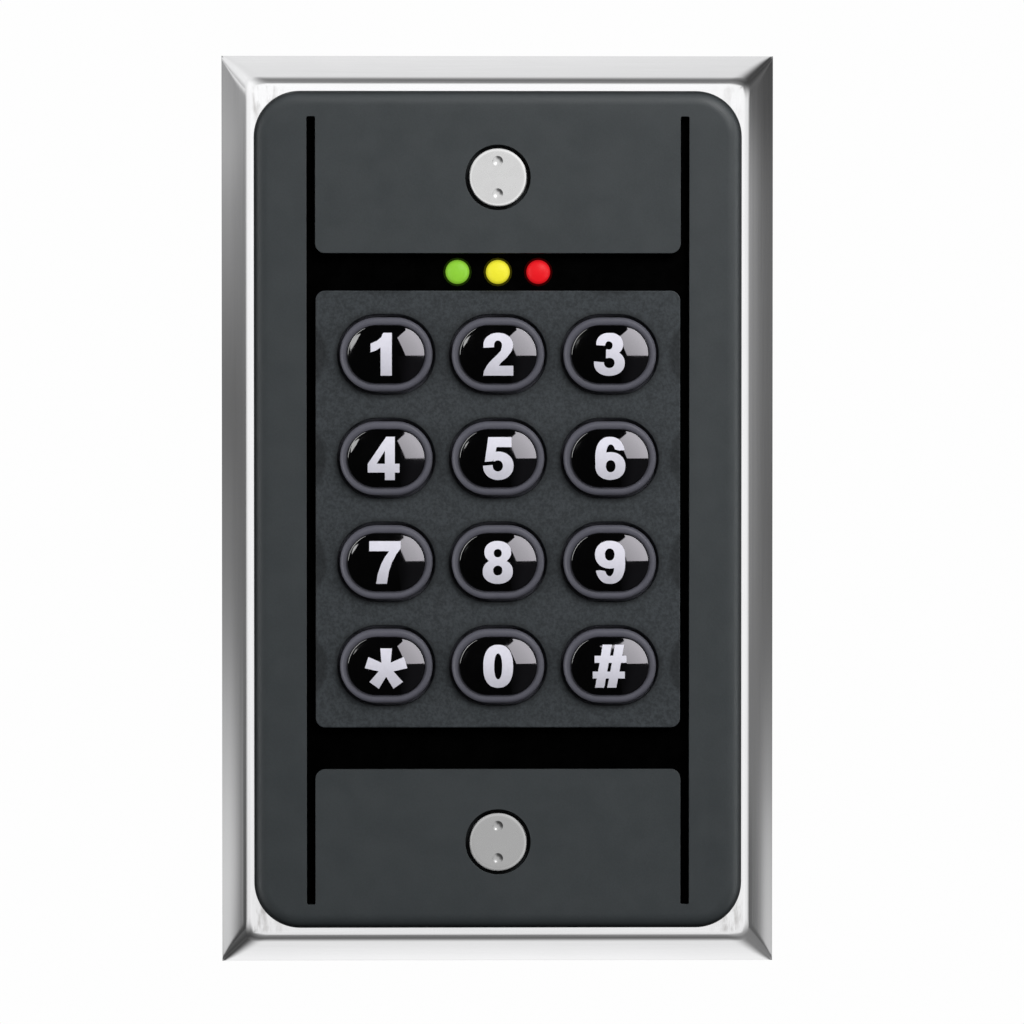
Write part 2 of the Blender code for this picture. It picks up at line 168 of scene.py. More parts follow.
def apply_all(obj):
    """The evaluated mesh becomes the object's own mesh."""
    graph = bpy.context.evaluated_depsgraph_get()
    mesh = bpy.data.meshes.new_from_object(obj.evaluated_get(graph), depsgraph=graph)
    old = obj.data
    obj.modifiers.clear()
    obj.data = mesh
    mesh.name = obj.name
    if old.users == 0:
        bpy.data.meshes.remove(old)
    return obj


def boolean(obj, what, build):
    tool = make("tool", build, 0)
    mod = obj.modifiers.new("b", "BOOLEAN")
    mod.operation = what
    mod.solver = "EXACT"
    mod.object = tool
    apply_all(obj)
    data = tool.data
    bpy.data.objects.remove(tool)
    bpy.data.meshes.remove(data)
    return obj


def soften(obj, width, segments=2, angle=40):
    """Small rounded edges wherever the surface turns sharply."""
    mod = obj.modifiers.new("edge", "BEVEL")
    mod.width = width * MM
    mod.segments = segments
    mod.limit_method = "ANGLE"
    mod.angle_limit = radians(angle)
    mod.miter_outer = "MITER_ARC"
    mod.use_clamp_overlap = True
    mod.harden_normals = True
    apply_all(obj)
    return obj


def centre(node):
    lo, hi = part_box(node)
    return (lo + hi) / 2 / MM


# --------------------------------------------------------------- materials


class Graph:
    """Short calls for building a node material."""

    def __init__(self, name, colour, rough, metal=0.0, spec=0.5):
        self.mat = bpy.data.materials.new(name)
        self.mat.use_nodes = True
        self.tree = self.mat.node_tree
        self.shader = self.tree.nodes["Principled BSDF"]
        self.shader.inputs["Base Color"].default_value = (*colour, 1)
        self.shader.inputs["Roughness"].default_value = rough
        self.shader.inputs["Metallic"].default_value = metal
        self.shader.inputs["Specular IOR Level"].default_value = spec
        self.colour = colour
        self.rough = rough
        self.coords = self.tree.nodes.new("ShaderNodeTexCoord").outputs["Object"]
        self.bumps = None

    def node(self, kind, **values):
        n = self.tree.nodes.new(kind)
        for key, value in values.items():
            if hasattr(n, key):
                setattr(n, key, value)
            else:
                n.inputs[key.replace("_", " ")].default_value = value
        return n

    def link(self, a, b):
        self.tree.links.new(a, b)

    def put(self, value, socket):
        if hasattr(value, "is_linked") or hasattr(value, "links"):
            self.link(value, socket)
        else:
            socket.default_value = value

    def math(self, op, a, b=0.0, c=0.0, clamp=False):
        n = self.tree.nodes.new("ShaderNodeMath")
        n.operation = op
        n.use_clamp = clamp
        for value, socket in zip((a, b, c), n.inputs):
            self.put(value, socket)
        return n.outputs[0]

    def axes(self):
        n = self.tree.nodes.new("ShaderNodeSeparateXYZ")
        self.link(self.coords, n.inputs[0])
        return n.outputs

    def scaled(self, sx, sy, sz, vector=None):
        n = self.tree.nodes.new("ShaderNodeMapping")
        n.inputs["Scale"].default_value = (sx, sy, sz)
        self.link(vector or self.coords, n.inputs["Vector"])
        return n.outputs[0]

    def noise(self, scale, detail=3.0, rough=0.5, vector=None, distortion=0.0):
        n = self.tree.nodes.new("ShaderNodeTexNoise")
        n.inputs["Scale"].default_value = scale
        n.inputs["Detail"].default_value = detail
        n.inputs["Roughness"].default_value = rough
        n.inputs["Distortion"].default_value = distortion
        self.link(vector or self.coords, n.inputs["Vector"])
        return n.outputs["Fac"]

    def voronoi(self, scale, vector=None, feature="F1"):
        n = self.tree.nodes.new("ShaderNodeTexVoronoi")
        n.feature = feature
        n.inputs["Scale"].default_value = scale
        self.link(vector or self.coords, n.inputs["Vector"])
        return n.outputs["Distance"]

    def ramp(self, value, low, high, to_low=0.0, to_high=1.0, smooth=True):
        n = self.tree.nodes.new("ShaderNodeMapRange")
        n.interpolation_type = "SMOOTHSTEP" if smooth else "LINEAR"
        n.inputs["From Min"].default_value = low
        n.inputs["From Max"].default_value = high
        n.inputs["To Min"].default_value = to_low
        n.inputs["To Max"].default_value = to_high
        self.put(value, n.inputs["Value"])
        return n.outputs[0]

    def mix(self, factor, a, b):
        n = self.tree.nodes.new("ShaderNodeMix")
        n.data_type = "RGBA"
        self.put(factor, n.inputs["Factor"])
        for value, socket in ((a, n.inputs[6]), (b, n.inputs[7])):
            if isinstance(value, tuple):
                value = (*value[:3], 1.0)
            self.put(value, socket)
        return n.outputs[2]

    def paint(self, value):
        self.put(value, self.shader.inputs["Base Color"])

    def set_rough(self, value):
        self.put(value, self.shader.inputs["Roughness"])

    def bump(self, height, distance, strength=1.0):
        n = self.tree.nodes.new("ShaderNodeBump")
        n.inputs["Distance"].default_value = distance * MM
        n.inputs["Strength"].default_value = strength
        self.link(height, n.inputs["Height"])
        if self.bumps is not None:
            self.link(self.bumps, n.inputs["Normal"])
        self.bumps = n.outputs[0]
        self.link(self.bumps, self.shader.inputs["Normal"])


def shade(colour, k):
    return tuple(min(1.0, c * k) for c in colour)


def srgb(r, g, b):
    return tuple((c / 255 / 12.92) if c / 255 <= 0.04045 else ((c / 255 + 0.055) / 1.055) ** 2.4
                 for c in (r, g, b))


def plastic(name, colour, rough, grain=3500.0, depth=0.012, vary=0.12, mottle=900.0, spec=0.5, coat=0.0):
    """Moulded plastic: spark-eroded grain, slow colour drift, uneven gloss."""
    g = Graph(name, colour, rough, 0.0, spec)
    fine = g.noise(grain, 2.0, 0.6)
    broad = g.noise(mottle, 3.0, 0.55)
    tone = g.math("ADD", g.math("MULTIPLY", fine, 0.6), g.math("MULTIPLY", broad, 0.4))
    g.paint(g.mix(g.ramp(tone, 0.32, 0.68), shade(colour, 1 - vary), shade(colour, 1 + vary)))
    g.set_rough(g.ramp(broad, 0.3, 0.7, rough - 0.05, rough + 0.05))
    g.bump(fine, depth)
    if coat:
        g.shader.inputs["Coat Weight"].default_value = coat
        g.shader.inputs["Coat Roughness"].default_value = 0.05
    return g.mat


def dress(obj, mat, body="reader", replaces=()):
    obj.data.materials.clear()
    obj.data.materials.append(mat)
    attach(obj, body)
    if replaces:
        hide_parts(*replaces)
    return obj


def repaint(mat, *names):
    for name in names:
        for s in nodes[name].material_slots:
            s.material = mat


# brushed stainless: streaks run along each side of the plate
def steel_material():
    base = srgb(234, 234, 235)
    g = Graph("brushed_stainless", base, 0.16, 1.0)
    ax = g.axes()
    x, z = g.math("ABSOLUTE", ax[0]), g.math("ABSOLUTE", ax[2])
    along_x = g.math("GREATER_THAN", g.math("SUBTRACT", z, 0.0224), x)
    streak_x = g.noise(1.0, 5.0, 0.6, g.scaled(70, 5200, 5200))
    streak_z = g.noise(1.0, 5.0, 0.6, g.scaled(5200, 5200, 70))
    pick = g.tree.nodes.new("ShaderNodeMix")
    g.put(along_x, pick.inputs["Factor"])
    g.link(streak_z, pick.inputs[2])
    g.link(streak_x, pick.inputs[3])
    streak = pick.outputs[0]
    # rubbed patches on the flat rim, in the corners the cover's rounding leaves
    upright = g.noise(1.0, 3.0, 0.6, g.scaled(900, 900, 260))
    inside = g.math("MULTIPLY", g.ramp(x, 0.0306, 0.0311, 1.0, 0.0), g.ramp(z, 0.0530, 0.0535, 1.0, 0.0))
    corner = g.math("MULTIPLY", g.ramp(x, 0.0262, 0.0292), g.ramp(z, 0.0482, 0.0508))
    clean = g.math("MULTIPLY", g.ramp(ax[0], -0.001, 0.001), g.ramp(ax[2], -0.001, 0.001, 0.0, 0.65))
    worn = g.math("MULTIPLY", g.math("MULTIPLY", corner, inside), g.ramp(upright, 0.42, 0.68))
    worn = g.math("MULTIPLY", worn, g.math("SUBTRACT", 1.0, clean))
    cloud = g.noise(160.0, 3.0, 0.5)
    tone = g.mix(g.ramp(streak, 0.3, 0.7), shade(base, 0.955), base)
    tone = g.mix(g.ramp(cloud, 0.35, 0.65, 0.0, 0.10), tone, shade(base, 0.88))
    g.paint(g.mix(g.math("MULTIPLY", worn, 0.8), tone, srgb(176, 174, 173)))
    g.set_rough(g.ramp(streak, 0.25, 0.75, 0.13, 0.20))
    g.bump(streak, 0.0009)
    return g.mat


steel = steel_material()


def cover_material():
    """Fine-grained moulding; painted shade darkens the foot of its rolled edge."""
    base = srgb(51, 55, 57)
    g = Graph("charcoal_abs", base, 0.48, 0.0, 0.30)
    fine, broad = g.noise(5200.0, 2.0, 0.6), g.noise(300.0, 3.0, 0.55)
    tone = g.math("ADD", g.math("MULTIPLY", fine, 0.7), g.math("MULTIPLY", broad, 0.3))
    face = g.mix(g.ramp(tone, 0.32, 0.68), shade(base, 0.94), shade(base, 1.06))
    # painted shade: the colour darkens towards the foot of the rolled edge, where the cover meets the plate
    foot = g.ramp(g.axes()[1], -0.0081, -0.0076)
    g.paint(g.mix(g.math("MULTIPLY", foot, 0.68), face, shade(base, 0.25)))
    g.set_rough(g.ramp(broad, 0.3, 0.7, 0.44, 0.52))
    g.bump(fine, 0.005)
    return g.mat


charcoal = cover_material()


def panel_material():
    """Coarser spark grain than the cover's, and painted shade in the lip of each key hole."""
    base = srgb(48, 52, 55)
    g = Graph("panel_abs", base, 0.6, 0.0, 0.25)
    grain = g.noise(2600.0, 3.0, 0.65)
    mottle = g.noise(1100.0, 3.0, 0.6)
    ax = g.axes()
    near = []
    for axis, pitch, offset in ((0, 0.014, 0.0), (2, 0.013, 0.0065)):
        turn = g.math("DIVIDE", g.math("SUBTRACT", ax[axis], offset), pitch)
        off = g.math("SUBTRACT", turn, g.math("ROUND", turn))
        near.append(g.math("ABSOLUTE", g.math("MULTIPLY", off, pitch)))
    dx = g.math("MAXIMUM", g.math("SUBTRACT", near[0], 0.0011), 0.0)
    gap = g.math("SUBTRACT", g.math("SQRT", g.math("ADD", g.math("MULTIPLY", dx, dx),
                                                   g.math("MULTIPLY", near[1], near[1]))), 0.005)
    # painted shade: the colour darkens close round each key hole
    lip = g.ramp(gap, 0.00002, 0.00075, 0.55, 1.0)
    tone = g.math("ADD", g.math("MULTIPLY", grain, 0.65), g.math("MULTIPLY", mottle, 0.35))
    face = g.mix(g.ramp(tone, 0.36, 0.64), shade(base, 0.74), shade(base, 1.28))
    g.paint(g.mix(lip, shade(base, 0.12), face))
    g.set_rough(g.ramp(mottle, 0.3, 0.7, 0.55, 0.65))
    g.bump(grain, 0.014)
    return g.mat


panel_grey = panel_material()
gloss_black = plastic("gloss_black_abs", srgb(1, 1, 1), 0.35, 3000.0, 0.003, 0.25, 500.0, 0.03)
ring_grey = plastic("violet_grey_silicone", srgb(69, 69, 77), 0.5, 4200.0, 0.004, 0.06, 500.0, 0.25)
cap_black = plastic("gloss_black_cap", srgb(6, 6, 7), 0.05, 900.0, 0.0006, 0.3, 200.0, 0.5)
ink = plastic("legend_ink", srgb(199, 198, 208), 0.6, 3000.0, 0.003, 0.03, 900.0, 0.1)
foam = plastic("foam_rubber", (0.02, 0.02, 0.021), 0.9, 1900.0, 0.12, 0.35, 900.0, 0.2)
housing_black = plastic("black_housing_abs", (0.017, 0.017, 0.018), 0.5, 3800.0, 0.014, 0.22, 420.0)
nylon = plastic("socket_nylon", (0.70, 0.67, 0.58), 0.42, 2600.0, 0.004, 0.05, 500.0)
rubber_grey = plastic("mat_silicone", (0.33, 0.33, 0.34), 0.6, 2500.0, 0.006, 0.08, 500.0)
epoxy_black = plastic("chip_epoxy", (0.012, 0.012, 0.013), 0.5, 4200.0, 0.01, 0.25, 600.0)
relay_blue = plastic("relay_case", (0.02, 0.08, 0.30), 0.35, 2600.0, 0.004, 0.08, 500.0)
switch_dark = plastic("switch_body", (0.045, 0.045, 0.047), 0.5, 3600.0, 0.006, 0.15, 600.0)
plunger_red = plastic("plunger_nylon", (0.45, 0.06, 0.04), 0.45, 3600.0, 0.004, 0.08, 600.0)


def plated(name, base, rough, turning_marks_and_rim_highlight=True, at=(0.0, 0.0)):
    """Zinc-plated steel with faint turning marks round the head's axis, and a painted highlight on the head's rolled
    edge.
    """
    g = Graph(name, base, rough, 1.0)
    cloudy = g.noise(900.0, 4.0, 0.6)
    fine = g.noise(5200.0, 3.0, 0.6)
    g.paint(g.mix(g.ramp(cloudy, 0.3, 0.7), shade(base, 0.93), base))
    g.set_rough(g.ramp(cloudy, 0.3, 0.7, rough - 0.05, rough + 0.06))
    if turning_marks_and_rim_highlight:
        ax = g.axes()
        dx, dz = g.math("SUBTRACT", ax[0], at[0] * MM), g.math("SUBTRACT", ax[2], at[1] * MM)
        radius = g.math("SQRT", g.math("ADD", g.math("MULTIPLY", dx, dx), g.math("MULTIPLY", dz, dz)))
        g.bump(g.noise(1.0, 2.0, 0.5, g.scaled(9000, 9000, 9000, radius)), 0.0008)
        tone = g.mix(g.ramp(cloudy, 0.3, 0.7), shade(base, 0.97), shade(base, 1.02))
        # painted highlight: the head's rolled edge, past 3.2 mm from the axis, is painted lighter
        g.paint(g.mix(g.ramp(radius, 0.0032, 0.0034), tone, shade(base, 1.22)))
    g.bump(fine, 0.0012)
    return g.mat


zinc = plated("plated_steel", (0.60, 0.60, 0.60), 0.32, False)
brass = plated("nickel_brass", (0.70, 0.62, 0.45), 0.3, False)


def board_material():
    g = Graph("circuit_board", (0.012, 0.11, 0.045), 0.35)
    ax = g.axes()
    tracks = g.voronoi(260.0, g.scaled(1.0, 0.001, 1.0))
    lines = g.math("FRACT", g.math("MULTIPLY", tracks, 9.0))
    g.paint(g.mix(g.ramp(lines, 0.42, 0.5), (0.010, 0.085, 0.035), (0.02, 0.16, 0.06)))
    g.bump(g.ramp(lines, 0.42, 0.5), 0.02)
    return g.mat


def coil_material():
    g = Graph("enamelled_copper", (0.55, 0.20, 0.08), 0.28, 1.0)
    ax = g.axes()
    turns = g.math("SINE", g.math("MULTIPLY", ax[1], 2 * pi / 0.00025))
    g.paint(g.mix(g.ramp(turns, -1, 1), (0.30, 0.09, 0.035), (0.62, 0.25, 0.10)))
    g.bump(turns, 0.06)
    return g.mat


board = board_material()
copper = coil_material()

# -------------------------------------------------------------- trim plate
p_lo, p_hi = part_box("trim_plate")
PX, PZ = p_hi.x / MM, p_hi.z / MM
TOP = p_lo.y / MM                       # the rim's front
TX, TZ = PX - 3.3, PZ - 3.4
WX, WZ = 23.6, 35.8


RIM_R = 1.55                            # pressed radius between bevel and rim
DEPTH = -TOP


def section(inset):
    """The plate's cross-section, as (distance in from the edge, height): a
    short land, a slightly crowned bevel and a rolled edge on to the rim."""
    slope = atan2(DEPTH - 0.5, inset)
    points = [(0.0, 0.0), (0.0, 0.2), (0.0, 0.38), (0.02, 0.46), (0.07, 0.55), (0.13, 0.64)]
    t = RIM_R * sin(slope / 2) / cos(slope / 2)
    bx, by = inset - t * cos(slope), DEPTH - t * sin(slope)
    for i in range(1, 13):
        u = i / 12
        crown = 0.09 * 4 * u * (1 - u)
        points.append((0.13 + (bx - 0.13) * u - crown * sin(slope), 0.64 + (by - 0.64) * u + crown * cos(slope)))
    for i in range(1, 15):
        a = slope * (1 - i / 14)
        points.append((inset + t - RIM_R * sin(a), DEPTH - RIM_R * (1 - cos(a))))
    return points


def height(profile, d):
    for (d0, h0), (d1, h1) in zip(profile, profile[1:]):
        if d < d1:
            return h0 + (h1 - h0) * (d - d0) / (d1 - d0)
    return DEPTH


def soft_min(a, b, k):
    h = max(k - abs(a - b), 0.0) / k
    return min(a, b) - h * h * k / 4


STEPS = [0.0, 0.12, 0.25, 0.4, 0.55, 0.7, 0.9, 1.1, 1.35, 1.6, 1.9, 2.2, 2.6, 3.0, 3.5, 4.2, 6.0, 12.0]


def around(hx, hz):
    """Points round a rectangle, close together near its corners, each with
    its distance from the nearest corner."""
    points = []
    corners = [(-hx, -hz), (hx, -hz), (hx, hz), (-hx, hz)]
    for i, (x0, z0) in enumerate(corners):
        x1, z1 = corners[(i + 1) % 4]
        length = abs(x1 - x0) + abs(z1 - z0)
        run = STEPS + [length - s for s in reversed(STEPS[1:])]
        for s in run:
            points.append((x0 + (x1 - x0) * s / length, z0 + (z1 - z0) * s / length, min(s, length - s)))
    return points


def build_plate(bm):
    profile = section(PX - TX)
    rings = []
    for d, h in profile:
        ring = []
        for x, z, s in around(PX - d, PZ - d):
            y = h
            if h > 0.3:
                k = 0.02 + 2.4 * sqrt(min(1.0, d / 3.3))
                y = height(profile[2:], max(soft_min(d, d + s, k), 0.0)) if s < k else h
            ring.append(bm.verts.new((x * MM, -min(y, h) * MM, z * MM)))
        rings.append(ring)
    for hx, hz, y in ((PX - profile[-1][0] - 0.6, PZ - profile[-1][0] - 0.6, TOP), (WX + 0.15, WZ + 0.15, TOP),
                      (WX, WZ, TOP + 0.15), (WX, WZ, TOP + 1.2), (TX - 0.6, TZ - 0.6, TOP + 1.2),
                      (PX - 1.2, PZ - 1.2, 0.0)):
        rings.append([bm.verts.new((x * MM, y * MM, z * MM)) for x, z, _ in around(hx, hz)])
    for a, b in zip(rings, rings[1:] + rings[:1]):
        count = len(a)
        for i in range(count):
            j = (i + 1) % count
            bm.faces.new((a[i], a[j], b[j], b[i]))


plate = make("trim_plate_steel", build_plate, 0)
plate.data.shade_smooth()
boolean(plate, "DIFFERENCE", prisms(
    [circle(2.1, 40, 0, s * 41.67) for s in (1, -1)]
    + [circle(1.3, 24, sx * 26.4, sz * 33.0) for sx in (1, -1) for sz in (1, -1)], TOP - 1, TOP + 2.2))
plate.data.shade_smooth()
plate.data.set_sharp_from_angle(angle=radians(38))
dress(plate, steel, "reader", ["trim_plate"])

# ------------------------------------------------------------- front cover
c_lo, c_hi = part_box("front_cover")
CX, CZ, CR, EDGE = c_hi.x / MM, c_hi.z / MM, 5.8, 1.5
FACE, CBACK = c_lo.y / MM, c_hi.y / MM
GI, GO, GT, GL = 22.9, 24.0, 49.3, -49.55
BTH, BTL, BLH, BLL = 32.2, 27.5, -27.3, -32.55
PR = 1.2


def arc(cx, cz, r, a0, a1, n=10):
    return [(cx + r * cos(radians(a0 + (a1 - a0) * i / n)), cz + r * sin(radians(a0 + (a1 - a0) * i / n)))
            for i in range(n + 1)]


def ladder():
    e = 0.2   # the grooves' own end rounding
    pts = arc(GO - e, GL + e, e, -90, 0, 4) + arc(GO - e, GT - e, e, 0, 90, 4)
    pts += arc(GI + e, GT - e, e, 90, 180, 4)
    pts += arc(GI - PR, BTH + PR, PR, 0, -90)
    pts += arc(-GI + PR, BTH + PR, PR, -90, -180)
    pts += arc(-GI - e, GT - e, e, 0, 90, 4) + arc(-GO + e, GT - e, e, 90, 180, 4)
    pts += arc(-GO + e, GL + e, e, 180, 270, 4) + arc(-GI - e, GL + e, e, 270, 360, 4)
    pts += arc(-GI + PR, BLL - PR, PR, 180, 90)
    pts += arc(GI - PR, BLL - PR, PR, 90, 0)
    pts += arc(GI + e, GL + e, e, 180, 270, 4)
    return pts


def build_cover(bm):
    levels = [(rect(CX - 1.6, CZ - 1.6, CR - 1.6, 20), FACE + 1.2),
              (rect(CX - 1.6, CZ - 1.6, CR - 1.6, 20), CBACK),
              (rect(CX, CZ, CR, 20), CBACK)]
    for step in range(11):
        a = radians(9 * step)
        inset = 1.28 * EDGE * (1 - cos(a))
        levels.append((rect(CX - inset, CZ - inset, CR - inset, 20), FACE + EDGE * (1 - sin(a))))
    add_loft(bm, levels)


cover = make("front_cover_shell", build_cover, 0)
boolean(cover, "DIFFERENCE", prisms([ladder()], FACE - 1, FACE + 1.6))
boolean(cover, "UNION", prisms(
    [circle(5.5, 48, 0, s * 41.67) for s in (1, -1)]
    + [circle(1.6, 20, sx * 26.4, sz * 33.0) for sx in (1, -1) for sz in (1, -1)], FACE + 0.6, CBACK))
boolean(cover, "DIFFERENCE", prisms([circle(4.1, 72, 0, s * 41.67) for s in (1, -1)], FACE - 1, FACE + 1.4))
boolean(cover, "DIFFERENCE", prisms([circle(2.1, 40, 0, s * 41.67) for s in (1, -1)], FACE - 1, CBACK + 1))
cover.data.shade_smooth()
soften(cover, 0.12, 2, 50)
dress(cover, charcoal, "reader", ["front_cover"])

# ------------------------------------------------------------ keypad panel
KEYS = {}
for row in (("1", "2", "3"), ("4", "5", "6"), ("7", "8", "9"), ("star", "0", "hash")):
    for label in row:
        c = centre(f"key_{label}_button")
        KEYS[label] = (c.x, c.z)

k_lo, k_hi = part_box("keypad_panel")
panel = make("keypad_panel_moulding", prisms(
    [rect(k_hi.x / MM, (k_hi.z - k_lo.z) / 2 / MM, PR, 10, 0, (k_hi.z + k_lo.z) / 2 / MM)], FACE, FACE + 1.2), 0)
boolean(panel, "DIFFERENCE", prisms([stadium(12.2, 10.0, 32, x, z) for x, z in KEYS.values()], FACE - 1, FACE + 2.2))
panel.data.shade_smooth()
soften(panel, 0.15, 3, 50)
dress(panel, panel_grey, "reader", ["keypad_panel"])

# -------------------------------------------------------------------- keys
CAP_W, CAP_H = 9.8, 7.35
CAP_R = CAP_H / 2
APEX = -10.74                           # the cap's crown, just inside the CAD cap's
SLOPE = 0.5                             # the dome's slope at its edge


def dome(t):
    """Height of the cap's surface, t = 0 on its centre line and 1 at its edge."""
    return APEX + SLOPE * CAP_R / 2 * t * t


def cap_levels(lift=0.0, n=24):
    levels = []
    for i in range(1, 15):
        t = 0.06 + (0.945 - 0.06) * (i - 1) / 13
        d = CAP_R * (1 - t)
        levels.append((stadium(CAP_W - 2 * d, CAP_H - 2 * d, n), dome(t) + lift))
    return levels


def build_cap(bm):
    levels = cap_levels()
    y_edge = dome(0.945)
    for step in range(1, 6):           # rolled edge
        a = radians(18 * step)
        inset = CAP_R * 0.055 * (1 - sin(a)) * 1.0
        levels.append((stadium(CAP_W - 2 * inset, CAP_H - 2 * inset, 24), y_edge + 0.27 * (1 - cos(a)) + 0.05 * step / 5))
    levels.append((stadium(CAP_W, CAP_H, 24), -9.42))
    add_loft(bm, levels)


def build_button(bm):
    """Silicone button: foot and flange behind the panel, and a rounded collar
    round the cap in front of it."""
    w, h = 11.6, 9.26
    levels = [(stadium(8.6, 6.4), FACE + 5.2), (stadium(8.6, 6.4), FACE + 2.3),
              (stadium(13.1, 10.8), FACE + 2.3), (stadium(13.1, 10.8), FACE + 1.5),
              (stadium(w, h), FACE + 1.5), (stadium(w, h), FACE - 0.55)]
    for step in range(1, 11):
        a = radians(90 * step / 10)
        inset = 0.5 * (1 - cos(a))
        levels.append((stadium(w - 2 * inset, h - 2 * inset), FACE - 0.65 - 0.52 * sin(a)))
    levels.append((stadium(CAP_W + 0.35, CAP_H + 0.35), FACE - 1.15))
    levels.append((stadium(CAP_W + 0.12, CAP_H + 0.12), FACE - 1.06))
    levels.append((stadium(CAP_W - 0.4, CAP_H - 0.4), FACE - 0.98))
    add_loft(bm, levels)


def superellipse(cx, cz, rx, rz, power=2.0, n=64):
    points = []
    for i in range(n):
        a = 2 * pi * i / n
        c, s = cos(a), sin(a)
        points.append((cx + rx * (abs(c) ** (2 / power)) * (1 if c >= 0 else -1),
                       cz + rz * (abs(s) ** (2 / power)) * (1 if s >= 0 else -1)))
    return points


def block(x0, z0, x1, z1):
    return [(x0, z0), (x1, z0), (x1, z1), (x0, z1)]


def turned(shapes):
    """The same strokes, turned half a turn."""
    return [(what, [(-x, -z) for x, z in pts]) for what, pts in shapes]


def spoke(angle, length, base, tip):
    a = radians(angle)
    ux, uz, nx, nz = cos(a), sin(a), -sin(a), cos(a)
    return [(nx * base, nz * base), (-nx * base, -nz * base),
            (ux * length - nx * tip, uz * length - nz * tip), (ux * length + nx * tip, uz * length + nz * tip)]


def slanted(x_low, x_high, width, z0, z1):
    return [(x_low - width / 2, z0), (x_low + width / 2, z0), (x_high + width / 2, z1), (x_high - width / 2, z1)]


# Legends: heavy sans-serif figures 5.6 mm tall, drawn as strokes and counters.
SIX = [
    ("add", superellipse(0, 0, 1.95, 2.8, 2.35)),
    ("cut", superellipse(0.08, 0.35, 0.62, 1.45, 2.2)),
    ("cut", [(0.08, -0.6), (2.6, -0.6), (2.6, 1.12), (1.2, 1.02), (0.55, 1.18), (0.08, 1.2)]),
    ("add", superellipse(0.02, -1.0, 1.95, 1.8, 2.15)),
    ("cut", superellipse(0.06, -1.02, 0.62, 0.78, 2.2)),
]
GLYPHS = {
    "1": [("add", [(0.76, -2.78), (0.76, 2.78), (-0.36, 2.78), (-0.62, 2.2), (-1.2, 1.72), (-2.0, 1.37),
                   (-2.0, 0.23), (-1.3, 0.48), (-0.70, 0.88), (-0.70, -2.78)])],
    "2": [("add", superellipse(0.0, 1.15, 1.92, 1.63, 2.1)),
          ("cut", superellipse(-0.02, 1.12, 0.52, 0.66, 2.1)),
          ("cut", [(-2.6, -0.8), (1.0, -0.8), (0.5, 0.6), (-0.1, 1.0), (-0.62, 0.9), (-2.6, 0.78)]),
          ("add", [(1.88, 0.9), (1.66, 0.28), (1.1, -0.45), (0.42, -1.05), (0.08, -1.5), (1.97, -1.5), (1.97, -2.78),
                   (-1.95, -2.78), (-1.84, -2.2), (-1.45, -1.45), (-0.85, -0.75), (-0.15, -0.1), (0.35, 0.45),
                   (0.5, 0.9)])],
    "3": [("add", superellipse(-0.08, 1.3, 1.74, 1.48, 2.2)),
          ("add", superellipse(-0.12, -1.14, 2.0, 1.66, 2.15)),
          ("cut", superellipse(-0.18, 1.14, 0.48, 0.54, 2.1)),
          ("cut", superellipse(-0.12, -1.13, 0.68, 0.66, 2.1)),
          ("cut", [(-3.0, -0.85), (-0.72, -1.05), (-0.12, -1.0), (-0.12, -0.55), (-0.55, -0.5), (-0.55, 0.6),
                   (-0.18, 0.66), (-0.18, 1.1), (-0.66, 1.12), (-3.0, 1.22)])],
    "4": [("add", [(1.14, 2.80), (1.14, -0.70), (1.76, -0.70), (1.76, -1.84), (1.14, -1.84), (1.14, -2.82),
                   (-0.14, -2.82), (-0.14, -1.84), (-2.38, -1.84), (-2.38, -0.74), (0.02, 2.80)]),
          ("cut", [(-0.14, 1.0), (-0.14, -0.70), (-1.22, -0.70)])],
    "5": [("add", superellipse(0.02, -0.97, 1.98, 1.84, 2.1)),
          ("cut", superellipse(-0.04, -0.98, 0.66, 0.72, 2.1)),
          ("cut", [(-3.0, -1.05), (-0.66, -0.86), (-0.04, -0.86), (-0.04, -0.45), (-0.62, -0.38), (-0.62, 1.3),
                   (-3.0, 1.3)]),
          ("add", [(-1.28, 2.76), (1.74, 2.76), (1.74, 1.46), (-0.20, 1.46), (-0.38, 0.6), (-0.70, -0.36),
                   (-1.74, -0.46)])],
    "7": [("add", [(-2.18, 2.76), (1.9, 2.76), (1.9, 1.85), (1.35, 1.08), (0.78, 0.02), (0.36, -1.2),
                   (0.10, -2.78), (-1.30, -2.78), (-1.08, -1.5), (-0.62, -0.2), (-0.12, 0.75), (0.42, 1.46),
                   (-2.18, 1.46)])],
    "8": [("add", superellipse(-0.05, 1.33, 1.74, 1.45, 2.15)),
          ("add", superellipse(-0.05, -1.18, 1.96, 1.62, 2.15)),
          ("cut", superellipse(-0.05, 1.2, 0.52, 0.54, 2.1)),
          ("cut", superellipse(-0.05, -1.05, 0.60, 0.64, 2.1))],
    "0": [("add", superellipse(0, 0, 1.94, 2.8, 2.35)),
          ("cut", superellipse(0, 0, 0.52, 1.68, 2.2))],
    "star": [("add", [(x, z - 0.32) for x, z in spoke(a, 2.66, 0.52, 0.76)]) for a in (90, 162, 234, 306, 18)],
    "hash": [("add", slanted(-1.36, -0.36, 1.18, -2.8, 2.8)), ("add", slanted(0.22, 1.24, 1.18, -2.8, 2.8)),
             ("add", [(-2.02, 0.46), (2.12, 0.46), (2.12, 1.38), (-2.02, 1.38)]),
             ("add", [(-2.26, -1.58), (1.90, -1.58), (1.90, -0.68), (-2.26, -0.68)])],
    "6": SIX,
    "9": turned(SIX),
}


